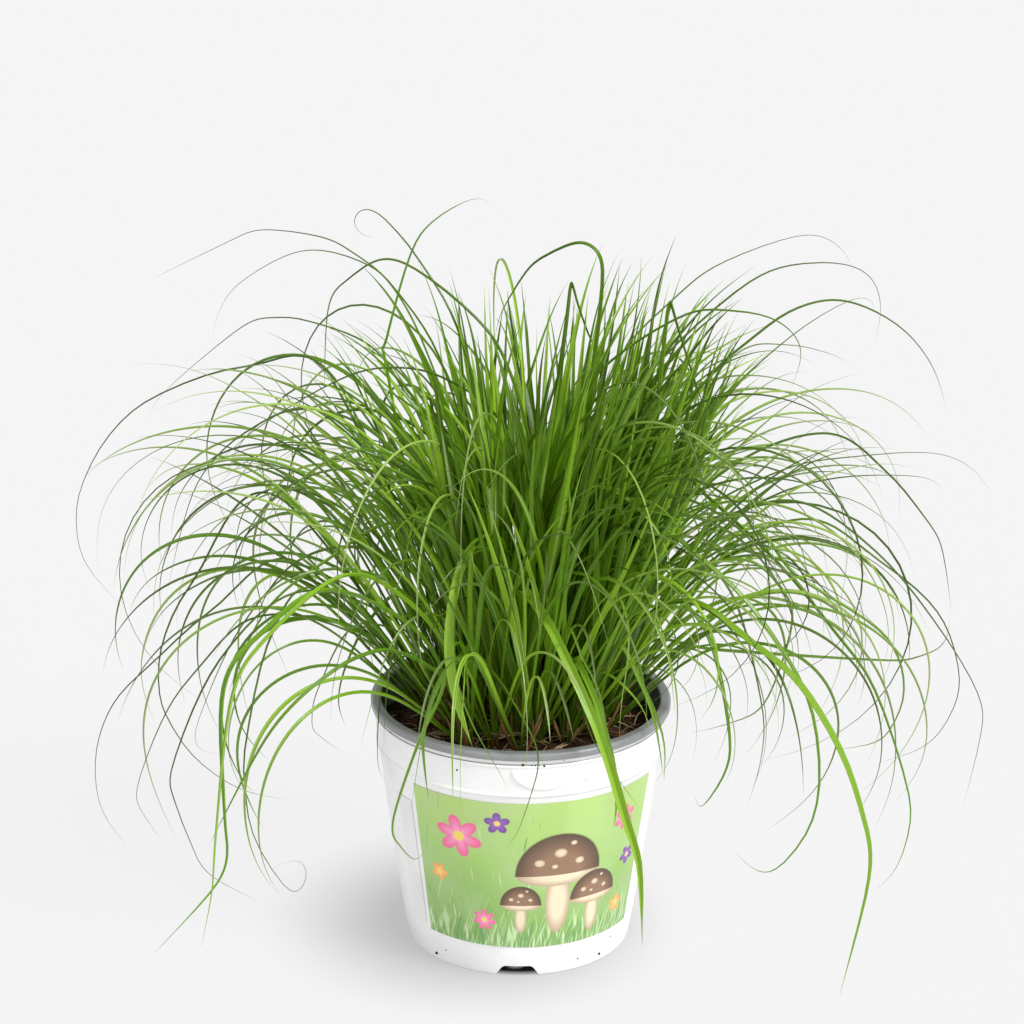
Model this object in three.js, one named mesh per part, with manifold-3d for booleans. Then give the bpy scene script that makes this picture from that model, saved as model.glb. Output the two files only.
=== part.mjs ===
// A clump of umbrella sedge growing in a filled 12 cm nursery pot.
// Millimetres, +Z up. The origin is on the pot's axis, at the floor. The front is toward -Y.
import * as THREE from "three";
import { mergeVertices } from "three/addons/utils/BufferGeometryUtils.js";
import Module from "manifold-3d";

const wasm = await Module();
wasm.setup();

// Sizes of the pot
const POT_HEIGHT = 101.8;
const LIP_RADIUS = 60;
const LIP_DROP = 3;
const LIP_WIDTH = 4.4;
const COLLAR_RADIUS = 58.4;
const UPPER_RIDGE_HEIGHT = 95.9;
const LOWER_RIDGE_HEIGHT = 83.5;
const RIDGE_SWELL = 0.5;
const RIDGE_HALF_HEIGHT = 0.9;
const WALL_TOP_RADIUS = 57.2;
const WALL_FOOT_RADIUS = 45.6;
const WALL_THICKNESS = 1.3;
const FOOT_RING_WIDTH = 1.8;
const FLOOR_RISE = 5;
const FLOOR_THICKNESS = 1.4;
const POT_SEGMENTS = 36;

// The foot ring's notches and the drain holes beside them
const NOTCH_COUNT = 4;
const NOTCH_WIDTH_AT_FLOOR = 18.5;
const NOTCH_WIDTH_AT_TOP = 11.5;
const NOTCH_HEIGHT = 4.4;
const NOTCH_DEPTH = 8;
const DRAIN_COUNT = 8;
const DRAIN_RADIUS = 3.5;
const DRAIN_CIRCLE = 36;
const DRAIN_SIDES = 8;

// The peat
const SOIL_GAP = 0.3;
const SOIL_EDGE_HEIGHT = 88.5;
const SOIL_MOUND = 5.5;
const SOIL_ROUGHNESS = 0.7;
const SOIL_SEGMENTS = 20;

// The shoots, in a sunflower pattern
const SHOOT_COUNT = 44;
const CLUMP_RADIUS = 40;
const GOLDEN_ANGLE = 137.508;
const STUB_SIDES = 5;
const STUB_RADIUS = 3.2;
const STUB_DEPTH = 8.5;
const STUB_RISE = 8;
const STUB_TAPER = 0.85;
const HOLE_RADIUS = 3.7;
const HOLE_FLOOR_GAP = 0.4;

// How blades root in their shoot
const ROOT_RISE = 3;
const ROOT_SPREAD = 5;
const ROOT_REACH = 2.1;
const ROOT_LENGTH = 14;
const CENTRE_SLANT = 7.5;
const RIM_SLANT = 22;
const SLANT_SPREAD = 9;

// How blades are cut into sections, and how far apart they stay
const STEPS_PER_SECTION = 5;
const MOST_SECTIONS = 10;
const ROUTE_STEPS = 8;
const CLEARANCE = 0.6;
const OWN_CLEARANCE = 0.3;
const SAMPLE_STEP = 2.5;
const CELL = 4.6;
const LEAST_DEPTH = 0.75;
const DEPTH_SHARE = 0.34;

// The blades that a rule draws for each shoot, and the outline that they keep inside
const BLADES_PER_SHOOT = 8;
const BLADE_TRIES = 200;
const CENTRE_WANDER = 150;
const RIM_WANDER = 34;
const TURN_SPREAD = 50;
const DRAWN_WIDTH = [1.7, 3.1];
const OUTLINE_REACH_X = 168;
const OUTLINE_REACH_Y = 136;
const OUTLINE_TOP = 278;
const OUTLINE_FALL = 60;
const OUTLINE_LOW = 28;
const POT_FRONT_HALF = 47;

// Upright, arching and low blades: their share of all, lean added toward the rim, lean at the tip,
// length, and where the bend would end, in lengths. The lean at the tip is the lean that a blade would
// have there, so a bend that ends past the tip leaves it at less. Angles are in degrees from upright.
const KINDS = [
  { upTo: 0.34, rimLean: 0, tipLean: [60, 150], length: [150, 215], bendEnd: [1.2, 1.6], sections: 4 },
  { upTo: 0.8, rimLean: 0, tipLean: [140, 225], length: [200, 310], bendEnd: [1.1, 1.4], sections: 6 },
  { upTo: 1, rimLean: 15, tipLean: [140, 215], length: [140, 230], bendEnd: [1, 1.3], sections: 5 },
];
const BEND_START = [0.1, 0.35];

// Long blades that give the clump its outline, chosen by hand: the shoot that each rises from, its
// heading in degrees from +X toward +Y, its width, and the points of its route. A point is the reach
// from the shoot, the height above the floor and any drift to the left of the heading's plane.
function arch(shoot, heading, width, ...route) {
  return { shoot, heading, width, route };
}

const ARCHES = [
  arch(9, 172, 1.3, [8, 193], [22, 241], [36, 267], [50, 278], [62, 284], [87, 286], [99, 281],
    [133, 263]),
  arch(4, 205, 1.4, [9, 193], [22, 243], [40, 272], [53, 284], [77, 291], [102, 281], [110, 271],
    [113, 261]),
  arch(3, 165, 2.1, [-2, 148], [2, 195], [12, 232], [26, 253], [59, 274], [79, 264], [87, 252],
    [89, 212]),
  arch(30, 20, 1.7, [-24, 235], [-25, 245], [-14, 282], [-4, 294], [12, 301], [18, 298]),
  arch(3, 150, 2.1, [9, 154], [23, 206], [38, 248], [54, 276], [63, 285], [73, 291], [78, 286],
    [68, 279]),
  arch(17, 170, 1.7, [46, 230], [83, 237], [120, 223], [139, 206], [151, 184], [154, 168], [151, 150],
    [135, 130]),
  arch(30, 168, 1.3, [1, 188], [17, 224], [31, 242], [57, 250], [69, 250], [82, 246], [116, 216],
    [123, 204]),
  arch(7, 190, 1.9, [-6, 144], [-7, 188], [3, 221], [24, 238], [42, 243], [62, 240], [94, 222],
    [116, 203]),
  arch(25, 186, 1.7, [4, 140], [16, 178], [32, 207], [55, 225], [80, 215], [96, 199], [104, 179],
    [111, 150]),
  arch(33, 196, 2.6, [-1, 147], [22, 183], [53, 169], [72, 155], [83, 137], [90, 117]),
  arch(30, 184, 1.5, [64, 184], [97, 148], [110, 122], [112, 100], [108, 87], [98, 71], [80, 57],
    [59, 52]),
  arch(38, 176, 1.2, [50, 157], [85, 135], [109, 112], [125, 95], [133, 77], [135, 59], [132, 43],
    [121, 27]),
  arch(33, 198, 1.2, [21, 127], [52, 147], [79, 150], [99, 132], [112, 115], [124, 85], [121, 73],
    [114, 61]),
  arch(33, 204, 1.3, [19, 140], [61, 162], [94, 139], [114, 98], [113, 83], [108, 67], [101, 51],
    [79, 34]),
  arch(41, 217, 3, [20, 143], [62, 172], [91, 162], [109, 144], [110, 94], [109, 76], [115, 65],
    [142, 45]),
  arch(41, 226, 2.4, [12, 137], [38, 167], [66, 181], [103, 166], [119, 148], [128, 96], [130, 76],
    [136, 54]),
  arch(28, 222, 2.4, [18, 123], [45, 144], [63, 147], [80, 143], [98, 134], [112, 121], [134, 91]),
  arch(20, 212, 1.3, [64, 166], [86, 154], [98, 113], [99, 92], [95, 70], [80, 44], [73, 49], [76, 58],
    [89, 57]),
  arch(38, 183, 1.2, [14, 135], [50, 155], [74, 133], [92, 93], [93, 80], [84, 77]),
  arch(38, 196, 2.2, [11, 144], [25, 137], [35, 118], [38, 103], [35, 92]),
  arch(33, 210, 1.2, [11, 130], [41, 147], [58, 124], [61, 110], [59, 105], [47, 94]),
  arch(33, 270, 1.4, [3, 125, -10], [6, 127, -19], [10, 116, -27], [16, 87, -28], [19, 78, -24]),
  arch(41, 235, 1.6, [18, 139], [26, 133], [33, 121], [40, 104], [37, 76]),
  arch(28, 238, 1.4, [23, 144], [36, 126], [50, 113], [68, 86], [62, 73], [52, 64], [43, 67]),
  arch(5, -22, 3.4, [12, 193], [25, 195], [65, 169], [84, 153], [105, 124], [112, 96], [111, 72],
    [102, 53], [91, 43], [78, 52]),
  arch(39, -35, 3.2, [10, 135], [40, 160], [71, 149], [90, 139], [108, 118], [119, 95], [124, 70],
    [114, 15]),
  arch(21, -8, 3, [18, 204], [46, 187], [76, 160], [97, 135], [114, 112], [130, 68], [131, 49], [126, 31],
    [118, 22]),
  arch(34, -4, 2.8, [49, 174], [72, 159], [103, 140], [113, 127], [116, 113], [114, 102], [107, 90],
    [88, 85]),
  arch(42, -6, 2.6, [14, 122], [41, 120], [106, 119], [120, 121], [130, 127], [132, 138]),
  arch(29, 5, 2.4, [16, 151], [53, 192], [92, 206], [117, 189], [133, 170], [141, 157], [147, 127]),
  arch(34, 1, 1.5, [23, 149], [73, 178], [105, 161], [130, 139], [140, 113], [138, 96], [128, 81],
    [107, 73]),
  arch(42, -20, 1.5, [12, 142], [42, 176], [73, 190], [105, 174], [131, 147], [149, 120], [150, 103],
    [145, 73]),
  arch(34, -25, 2.4, [16, 146], [33, 147], [45, 131], [53, 97], [52, 80], [42, 62], [39, 68]),
  arch(34, -12, 1.9, [5, 137], [31, 163], [50, 150], [63, 106], [64, 83], [59, 60]),
  arch(39, -14, 1.5, [8, 134], [31, 163], [56, 173], [71, 162], [76, 147], [67, 113], [54, 103],
    [37, 97]),
  arch(8, 14, 1.4, [3, 173], [10, 210], [23, 241], [43, 261], [61, 274], [95, 284], [111, 278],
    [117, 267]),
  arch(13, 8, 1.8, [5, 177], [17, 217], [32, 241], [67, 272], [92, 278], [111, 274], [118, 261],
    [116, 244]),
  arch(13, -4, 1.5, [8, 177], [25, 215], [45, 241], [75, 262], [111, 268], [129, 257], [138, 240],
    [139, 221]),
  arch(21, -14, 1.2, [10, 131], [25, 161], [42, 182], [76, 203], [102, 210], [130, 214], [145, 210],
    [155, 199]),
  arch(5, 2, 1.7, [18, 186], [37, 207], [55, 229], [84, 260], [102, 275], [116, 282], [121, 278],
    [120, 274]),
  arch(0, -20, 2.2, [5, 168], [12, 210], [26, 239], [58, 264], [77, 268], [95, 266], [105, 256],
    [101, 239]),
  arch(8, -6, 2.8, [10, 153], [50, 219], [72, 241], [88, 252], [106, 255], [127, 246], [141, 231],
    [148, 213]),
  arch(13, 4, 1.9, [5, 161], [23, 201], [44, 226], [62, 231], [74, 231], [94, 226], [110, 206],
    [115, 184]),
  arch(21, 12, 1.7, [7, 162], [34, 216], [69, 248], [94, 248], [115, 241], [129, 233]),
  arch(21, 0, 1.7, [18, 133], [42, 163], [65, 183], [93, 193], [127, 194], [137, 188]),
  arch(16, 158, 2.6, [-8, 213], [-12, 254], [-13, 275], [-10, 282], [-2, 284], [13, 276], [23, 264],
    [28, 249]),
  arch(15, 270, 3.4, [0, 138, -1], [14, 178, -4], [22, 183, -14], [36, 174, -21], [49, 144, -22],
    [54, 123, -16], [56, 101, -4], [55, 94, -1]),
  arch(23, 270, 1.4, [9, 133, -22], [17, 131, -18], [27, 127, -12], [38, 111, -1], [40, 101, 1],
    [40, 91, -1], [39, 80, -4]),
  arch(23, 270, 3.7, [-2, 134, -2], [13, 162, -7], [23, 158, 0], [35, 150, 7], [53, 120, 23],
    [62, 87, 34], [63, 70, 39], [61, 36, 41]),
  arch(31, 270, 1.9, [16, 147, 0], [28, 140, 6], [38, 127, 13], [44, 91, 19], [43, 74, 18]),
  arch(31, 270, 1.3, [14, 142, -4], [28, 125, 8], [40, 110, 16], [50, 88, 35]),
  arch(39, 270, 1.5, [15, 138, 8], [25, 128, 17], [30, 113, 23], [31, 90, 27]),
  arch(11, 10, 2.8, [2, 189], [6, 218], [10, 250], [12, 268], [15, 258], [20, 244], [26, 231]),
  arch(5, -8, 2.6, [35, 209], [39, 237], [41, 262], [42.5, 270], [45, 261], [52, 240], [59, 220]),
  arch(28, 270, 3.8, [2, 154, -3], [6, 178, -4], [12, 181, -8], [18, 174, -12], [25, 158, -15],
    [31, 141, -15], [35, 123, -11], [38, 107, -5]),
  arch(18, 270, 3.2, [6, 118, 1], [18, 133, 3], [32, 129, 8], [40, 122, 12], [46, 113, 15],
    [49, 103, 18], [51, 91, 20], [52, 76, 19]),
  arch(20, 270, 2.4, [3, 130, 1], [11, 138, -2], [21, 135, -9], [27, 132, -15], [32, 125, -20],
    [36, 117, -23], [39, 106, -25], [41, 83, -23]),
  arch(10, 300, 2.6, [8, 163, 1], [16, 193, 4], [24, 201, 7], [34, 201, 12], [44, 195, 17],
    [51, 187, 21], [55, 175, 23], [58, 160, 22]),
];

const radians = THREE.MathUtils.degToRad;
const mix = THREE.MathUtils.lerp;

// Surfaces
const paint = {
  pot: new THREE.MeshStandardMaterial({ color: 0xf2f2f2, roughness: 0.32, metalness: 0 }),
  soil: new THREE.MeshStandardMaterial({ color: 0x3a2a16, roughness: 0.95, metalness: 0 }),
  leaf: new THREE.MeshStandardMaterial({ color: 0x4b741c, roughness: 0.42, metalness: 0 }),
};

// Draws: a seeded row of numbers from 0 to 1, worked out in whole numbers
function draws(seed) {
  let state = seed % 4294967296;
  const next = () => {
    state = (state * 1664525 + 1013904223) % 4294967296;
    return state / 4294967296;
  };
  next();
  next();
  next();
  return next;
}

function smoothstep(t) {
  const held = Math.min(1, Math.max(0, t));
  return held * held * (3 - 2 * held);
}

// Solids
function solidOf(geometry) {
  const bare = geometry.index ? geometry.toNonIndexed() : geometry.clone();
  bare.deleteAttribute("normal");
  bare.deleteAttribute("uv");
  const merged = mergeVertices(bare, 1e-4);
  const mesh = new wasm.Mesh({
    numProp: 3,
    vertProperties: Float32Array.from(merged.attributes.position.array),
    triVerts: Uint32Array.from(merged.index.array),
  });
  return new wasm.Manifold(mesh);
}

function geometryOf(solid) {
  const mesh = solid.getMesh();
  const geometry = new THREE.BufferGeometry();
  geometry.setAttribute("position", new THREE.BufferAttribute(mesh.vertProperties, 3));
  geometry.setIndex(new THREE.BufferAttribute(mesh.triVerts, 1));
  geometry.computeVertexNormals();
  return geometry;
}

// A turned body that stands on +Z
function turned(profile, segments) {
  const points = profile.map(([radius, height]) => new THREE.Vector2(radius, height));
  const geometry = new THREE.LatheGeometry(points, segments);
  geometry.rotateX(Math.PI / 2);
  return geometry;
}

// A prism with level ends that stands on +Z
function prism(radiusTop, radiusFoot, low, high, sides) {
  const geometry = new THREE.CylinderGeometry(radiusTop, radiusFoot, high - low, sides);
  geometry.rotateX(Math.PI / 2);
  geometry.translate(0, 0, (low + high) / 2);
  return geometry;
}

// The pot: foot ring, raised floor, tapered wall, ridged collar and rolled lip, all in one piece
function wallRadius(height) {
  return mix(WALL_FOOT_RADIUS, WALL_TOP_RADIUS, height / (LOWER_RIDGE_HEIGHT - RIDGE_HALF_HEIGHT));
}

function collarRadius(height) {
  const rise = (height - LOWER_RIDGE_HEIGHT) / (UPPER_RIDGE_HEIGHT - LOWER_RIDGE_HEIGHT);
  return mix(WALL_TOP_RADIUS + 0.3, COLLAR_RADIUS, rise);
}

function ridge(height) {
  return [
    [collarRadius(height - RIDGE_HALF_HEIGHT), height - RIDGE_HALF_HEIGHT],
    [collarRadius(height) + RIDGE_SWELL, height],
    [collarRadius(height + RIDGE_HALF_HEIGHT), height + RIDGE_HALF_HEIGHT],
  ];
}

function notchCutter() {
  const outline = new THREE.Shape();
  outline.moveTo(-NOTCH_WIDTH_AT_FLOOR / 2, -1);
  outline.lineTo(NOTCH_WIDTH_AT_FLOOR / 2, -1);
  outline.lineTo(NOTCH_WIDTH_AT_TOP / 2, NOTCH_HEIGHT);
  outline.lineTo(-NOTCH_WIDTH_AT_TOP / 2, NOTCH_HEIGHT);
  outline.closePath();
  const geometry = new THREE.ExtrudeGeometry(outline, { depth: NOTCH_DEPTH, bevelEnabled: false });
  geometry.rotateX(Math.PI / 2);
  geometry.translate(0, -(WALL_FOOT_RADIUS - NOTCH_DEPTH / 2), 0);
  return geometry;
}

function potSolid() {
  const ringInner = WALL_FOOT_RADIUS - FOOT_RING_WIDTH;
  const floorTop = FLOOR_RISE + FLOOR_THICKNESS;
  const lipInner = LIP_RADIUS - LIP_WIDTH;
  const lipLow = POT_HEIGHT - LIP_DROP;
  const profile = [
    [0, FLOOR_RISE],
    [ringInner - 1, FLOOR_RISE],
    [ringInner, 0],
    [WALL_FOOT_RADIUS, 0],
    ...ridge(LOWER_RIDGE_HEIGHT),
    ...ridge(UPPER_RIDGE_HEIGHT),
    [COLLAR_RADIUS, lipLow],
    [LIP_RADIUS - 0.3, lipLow],
    [LIP_RADIUS, lipLow + 1],
    [LIP_RADIUS - 0.7, POT_HEIGHT - 0.4],
    [LIP_RADIUS - LIP_WIDTH / 2, POT_HEIGHT],
    [lipInner + 0.4, POT_HEIGHT - 0.5],
    [lipInner, POT_HEIGHT - 2],
    [collarRadius(UPPER_RIDGE_HEIGHT) - WALL_THICKNESS, lipLow - 1.5],
    [wallRadius(LOWER_RIDGE_HEIGHT) - WALL_THICKNESS, LOWER_RIDGE_HEIGHT],
    [wallRadius(floorTop) - WALL_THICKNESS, floorTop],
    [0, floorTop],
  ];
  let solid = solidOf(turned(profile, POT_SEGMENTS));
  for (let index = 0; index < NOTCH_COUNT; index += 1) {
    const notch = notchCutter();
    notch.rotateZ((index * 2 * Math.PI) / NOTCH_COUNT);
    solid = solid.subtract(solidOf(notch));
  }
  for (let index = 0; index < DRAIN_COUNT; index += 1) {
    const drain = prism(DRAIN_RADIUS, DRAIN_RADIUS, FLOOR_RISE - 1, floorTop + 1, DRAIN_SIDES);
    drain.translate(0, -DRAIN_CIRCLE, 0);
    drain.rotateZ((index * 2 * Math.PI) / DRAIN_COUNT);
    solid = solid.subtract(solidOf(drain));
  }
  return solid;
}

// The peat: a low mound with a plain hole for each shoot
function groundHeight(x, y) {
  const share = Math.hypot(x, y) / (LIP_RADIUS - LIP_WIDTH);
  return SOIL_EDGE_HEIGHT + SOIL_MOUND * (1 - share * share);
}

function groundBumps(x, y) {
  return SOIL_ROUGHNESS * (Math.sin(x * 0.31 + 1) * Math.cos(y * 0.27) + Math.sin(x * 0.13 - y * 0.21));
}

function shootPlace(index) {
  const radius = CLUMP_RADIUS * Math.sqrt((index + 0.5) / SHOOT_COUNT);
  const azimuth = radians(GOLDEN_ANGLE * index);
  const x = radius * Math.cos(azimuth);
  const y = radius * Math.sin(azimuth);
  return { index, radius, azimuth, x, y, ground: groundHeight(x, y) };
}

function soilSolid(shoots) {
  const low = FLOOR_RISE + FLOOR_THICKNESS + SOIL_GAP;
  const gap = WALL_THICKNESS + SOIL_GAP * 1.6;
  const edge = wallRadius(LOWER_RIDGE_HEIGHT) - gap;
  const profile = [[0, low], [wallRadius(low) - gap, low], [edge, LOWER_RIDGE_HEIGHT]];
  for (const share of [1, 0.7, 0.35, 0]) {
    profile.push([edge * share, SOIL_EDGE_HEIGHT]);
  }
  const geometry = turned(profile, SOIL_SEGMENTS);
  const spots = geometry.attributes.position;
  for (let index = 0; index < spots.count; index += 1) {
    const x = spots.getX(index);
    const y = spots.getY(index);
    if (spots.getZ(index) > LOWER_RIDGE_HEIGHT + 1) {
      spots.setZ(index, groundHeight(x, y) + groundBumps(x, y));
    }
  }
  let solid = solidOf(geometry);
  for (const shoot of shoots) {
    const holeLow = shoot.ground - STUB_DEPTH - HOLE_FLOOR_GAP;
    const hole = prism(HOLE_RADIUS, HOLE_RADIUS, holeLow, shoot.ground + STUB_RISE, STUB_SIDES);
    hole.translate(shoot.x, shoot.y, 0);
    solid = solid.subtract(solidOf(hole));
  }
  return solid;
}

// A spine is a row of points along a blade, each with the heading that the blade has there
function leaningSpine(start, shape) {
  const { heading, turn, leanFrom, leanTo, bendFrom, bendTo, length, sections } = shape;
  const spine = [{ x: start.x, y: start.y, z: start.z, heading }];
  let { x, y, z } = start;
  const steps = sections * STEPS_PER_SECTION;
  const step = length / steps;
  for (let index = 0; index < steps; index += 1) {
    const along = (index + 0.5) / steps;
    const lean = mix(leanFrom, leanTo, smoothstep((along - bendFrom) / (bendTo - bendFrom)));
    const way = heading + turn * along * along;
    x += step * Math.sin(lean) * Math.cos(way);
    y += step * Math.sin(lean) * Math.sin(way);
    z += step * Math.cos(lean);
    spine.push({ x, y, z, heading: heading + turn * ((index + 1) / steps) ** 2 });
  }
  return spine;
}

// A smooth curve through b and c, steered by a and d
function between(a, b, c, d, t) {
  const square = t * t;
  const cube = square * t;
  return 0.5 * (2 * b + (c - a) * t + (2 * a - 5 * b + 4 * c - d) * square + (3 * b - a - 3 * c + d) * cube);
}

function smoothRoute(knots) {
  const last = knots.length - 1;
  const fine = [];
  for (let span = 0; span < last; span += 1) {
    const places = [Math.max(0, span - 1), span, span + 1, Math.min(last, span + 2)];
    const near = places.map((place) => knots[place]);
    for (let index = 0; index < ROUTE_STEPS; index += 1) {
      const share = index / ROUTE_STEPS;
      fine.push([0, 1, 2].map((axis) => between(...near.map((knot) => knot[axis]), share)));
    }
  }
  fine.push(knots[last]);
  return fine;
}

// A route's spine passes through the route's points, in even steps
function routeSpine(start, heading, route, sections) {
  const fine = smoothRoute([[0, start.z, 0], ...route]);
  const lengths = [0];
  for (let index = 1; index < fine.length; index += 1) {
    const [a, b] = [fine[index - 1], fine[index]];
    lengths.push(lengths[index - 1] + Math.hypot(b[0] - a[0], b[1] - a[1], b[2] - a[2]));
  }
  const steps = sections * STEPS_PER_SECTION;
  const total = lengths[lengths.length - 1];
  const spine = [];
  let place = 1;
  for (let index = 0; index <= steps; index += 1) {
    const wanted = (total * index) / steps;
    while (place < fine.length - 1 && lengths[place] < wanted) {
      place += 1;
    }
    const share = (wanted - lengths[place - 1]) / (lengths[place] - lengths[place - 1]);
    const [from, to] = [fine[place - 1], fine[place]];
    const [reach, height, drift] = from.map((value, axis) => mix(value, to[axis], share));
    spine.push({
      x: start.x + reach * Math.cos(heading) - drift * Math.sin(heading),
      y: start.y + reach * Math.sin(heading) + drift * Math.cos(heading),
      z: height,
      heading,
    });
  }
  return spine;
}

// A blade is narrow at its root, widest at a quarter of its length, and runs out to a fine tip
function widthShare(along) {
  return mix(0.6, 1, smoothstep(along / 0.25)) * (1 - 0.85 * smoothstep((along - 0.45) / 0.6));
}

// A shoot's blades start side by side, in the order of their slants, so that they part at once
function meanSlant(shoot) {
  return CENTRE_SLANT + RIM_SLANT * (shoot.radius / CLUMP_RADIUS);
}

function rootOf(shoot, heading, slope) {
  const usual = Math.tan(radians(meanSlant(shoot)));
  const east = ROOT_SPREAD * (slope * Math.cos(heading) - usual * Math.cos(shoot.azimuth));
  const north = ROOT_SPREAD * (slope * Math.sin(heading) - usual * Math.sin(shoot.azimuth));
  const held = Math.min(1, ROOT_REACH / Math.hypot(east, north));
  return { x: shoot.x + east * held, y: shoot.y + north * held, z: shoot.ground + ROOT_RISE };
}

// A hand-chosen blade is turned and stretched a little more at each attempt, until it is clear
function archBlade(shoot, arch, attempt, next) {
  const heading = radians(arch.heading + (next() - 0.5) * 0.4 * attempt);
  const stretch = 1 + (next() - 0.5) * 0.002 * attempt;
  const [reach, height] = arch.route[0];
  const root = rootOf(shoot, heading, reach / (height - shoot.ground));
  const route = arch.route.map(([out, up, drift = 0]) => [out, root.z + (up - root.z) * stretch, drift]);
  const sections = Math.min(MOST_SECTIONS, route.length + 2);
  return {
    spine: routeSpine(root, heading, route, sections),
    width: arch.width,
    roll: radians((next() - 0.5) * 40),
    twist: radians((next() - 0.5) * 50),
  };
}

// A drawn blade fans out from the clump
function drawnBlade(shoot, next) {
  const rim = shoot.radius / CLUMP_RADIUS;
  const draw = next();
  const kind = KINDS.find(({ upTo }) => draw <= upTo);
  const heading = shoot.azimuth + (next() * 2 - 1) * radians(mix(CENTRE_WANDER, RIM_WANDER, rim));
  const turn = radians((next() - 0.5) * TURN_SPREAD);
  const leanFrom = radians(meanSlant(shoot) + SLANT_SPREAD * (next() - 0.5) + kind.rimLean * rim);
  const leanTo = radians(mix(...kind.tipLean, next()));
  const length = mix(...kind.length, next());
  const bendFrom = mix(...BEND_START, next());
  const bendTo = mix(...kind.bendEnd, next());
  const root = rootOf(shoot, heading, Math.tan(leanFrom));
  const shape = { heading, turn, leanFrom, leanTo, bendFrom, bendTo, length, sections: kind.sections };
  return {
    spine: leaningSpine(root, shape),
    width: mix(...DRAWN_WIDTH, next() ** 1.4),
    roll: radians((next() - 0.5) * 70),
    twist: radians((next() - 0.5) * 80),
  };
}

// Spots along a blade's straight sections, each with half the blade's width there
function spotsOf({ spine, width }) {
  const spots = [];
  const sections = (spine.length - 1) / STEPS_PER_SECTION;
  const [root] = spine;
  for (let section = 0; section < sections; section += 1) {
    const a = spine[section * STEPS_PER_SECTION];
    const b = spine[(section + 1) * STEPS_PER_SECTION];
    const count = Math.ceil(Math.hypot(b.x - a.x, b.y - a.y, b.z - a.z) / SAMPLE_STEP);
    for (let index = 0; index < count; index += 1) {
      const share = index / count;
      const [x, y, z] = [mix(a.x, b.x, share), mix(a.y, b.y, share), mix(a.z, b.z, share)];
      const half = (width * widthShare((section + share) / sections)) / 2 + 0.1;
      spots.push({ x, y, z, half, fromRoot: Math.hypot(x - root.x, y - root.y, z - root.z) });
    }
  }
  return spots;
}

// The spots that are taken already, kept in cells
const cells = new Map();

function cellKey(x, y, z) {
  const [column, row, layer] = [x, y, z].map((value) => Math.floor(value / CELL) + 512);
  return (column * 1024 + row) * 1024 + layer;
}

function take(spots, shoot) {
  for (const spot of spots) {
    const key = cellKey(spot.x, spot.y, spot.z);
    cells.set(key, [...(cells.get(key) ?? []), { ...spot, shoot }]);
  }
}

function neighbours(spot) {
  const found = [];
  const steps = [-CELL, 0, CELL];
  for (const dx of steps) {
    for (const dy of steps) {
      for (const dz of steps) {
        found.push(...(cells.get(cellKey(spot.x + dx, spot.y + dy, spot.z + dz)) ?? []));
      }
    }
  }
  return found;
}

// Blades of one shoot may touch near their root only
function isClearOfBlades(spots, shoot) {
  return spots.every((spot) =>
    neighbours(spot).every((other) => {
      const isOwn = other.shoot === shoot;
      const apart = Math.hypot(other.x - spot.x, other.y - spot.y, other.z - spot.z);
      const wanted = spot.half + other.half + (isOwn ? OWN_CLEARANCE : CLEARANCE);
      return apart >= wanted || (isOwn && spot.fromRoot < ROOT_LENGTH);
    }),
  );
}

function isClearOfPot(spots) {
  return spots.every((spot) => {
    const radius = Math.hypot(spot.x, spot.y);
    const isOverSoil = radius < LIP_RADIUS - LIP_WIDTH - 2;
    const floor = isOverSoil ? groundHeight(spot.x, spot.y) + 2.5 : POT_HEIGHT + 1.5 + spot.half;
    return radius > LIP_RADIUS + 0.7 + spot.half || spot.z > floor;
  });
}

// Drawn blades keep inside the clump's outline and leave the pot's front in sight
function isInOutline(spots) {
  return spots.every((spot) => {
    const isOutside = Math.hypot(spot.x, spot.y) > LIP_RADIUS;
    const isLowInFront = spot.y < 0 && Math.abs(spot.x) < POT_FRONT_HALF && spot.z < POT_HEIGHT - LIP_DROP;
    const reach = (spot.x / OUTLINE_REACH_X) ** 2 + (spot.y / OUTLINE_REACH_Y) ** 2;
    const isInDome = reach < 1 && spot.z < OUTLINE_TOP - OUTLINE_FALL * reach;
    return isInDome && !(isOutside && isLowInFront) && spot.z > OUTLINE_LOW;
  });
}

function stubSpots(shoot) {
  const spots = [];
  for (let rise = 0; rise <= STUB_RISE; rise += SAMPLE_STEP) {
    spots.push({ x: shoot.x, y: shoot.y, z: shoot.ground + rise, half: STUB_RADIUS, fromRoot: 0 });
  }
  return spots;
}

// Every blade is tried until it is clear of all that stand already, and left out past the last try
function plantBlades(shoots) {
  const planted = shoots.map(() => []);
  shoots.forEach((shoot) => take(stubSpots(shoot), shoot.index));
  const settle = (shoot, makeBlade, isAllowed) => {
    for (let attempt = 0; attempt < BLADE_TRIES; attempt += 1) {
      const blade = makeBlade(attempt);
      const spots = spotsOf(blade);
      if (isAllowed(spots) && isClearOfPot(spots) && isClearOfBlades(spots, shoot.index)) {
        take(spots, shoot.index);
        planted[shoot.index].push(blade);
        return;
      }
    }
  };
  ARCHES.forEach((arch, order) => {
    const shoot = shoots[arch.shoot];
    const make = (attempt) => archBlade(shoot, arch, attempt, draws(order * 7919 + attempt * 104729 + 11));
    settle(shoot, make, () => true);
  });
  for (let round = 0; round < BLADES_PER_SHOOT; round += 1) {
    for (const shoot of shoots.filter(({ index }) => planted[index].length < BLADES_PER_SHOOT)) {
      const seed = 50021 + (round * SHOOT_COUNT + shoot.index) * 7919;
      settle(shoot, (attempt) => drawnBlade(shoot, draws(seed + attempt * 104729)), isInOutline);
    }
  }
  return planted;
}

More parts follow.
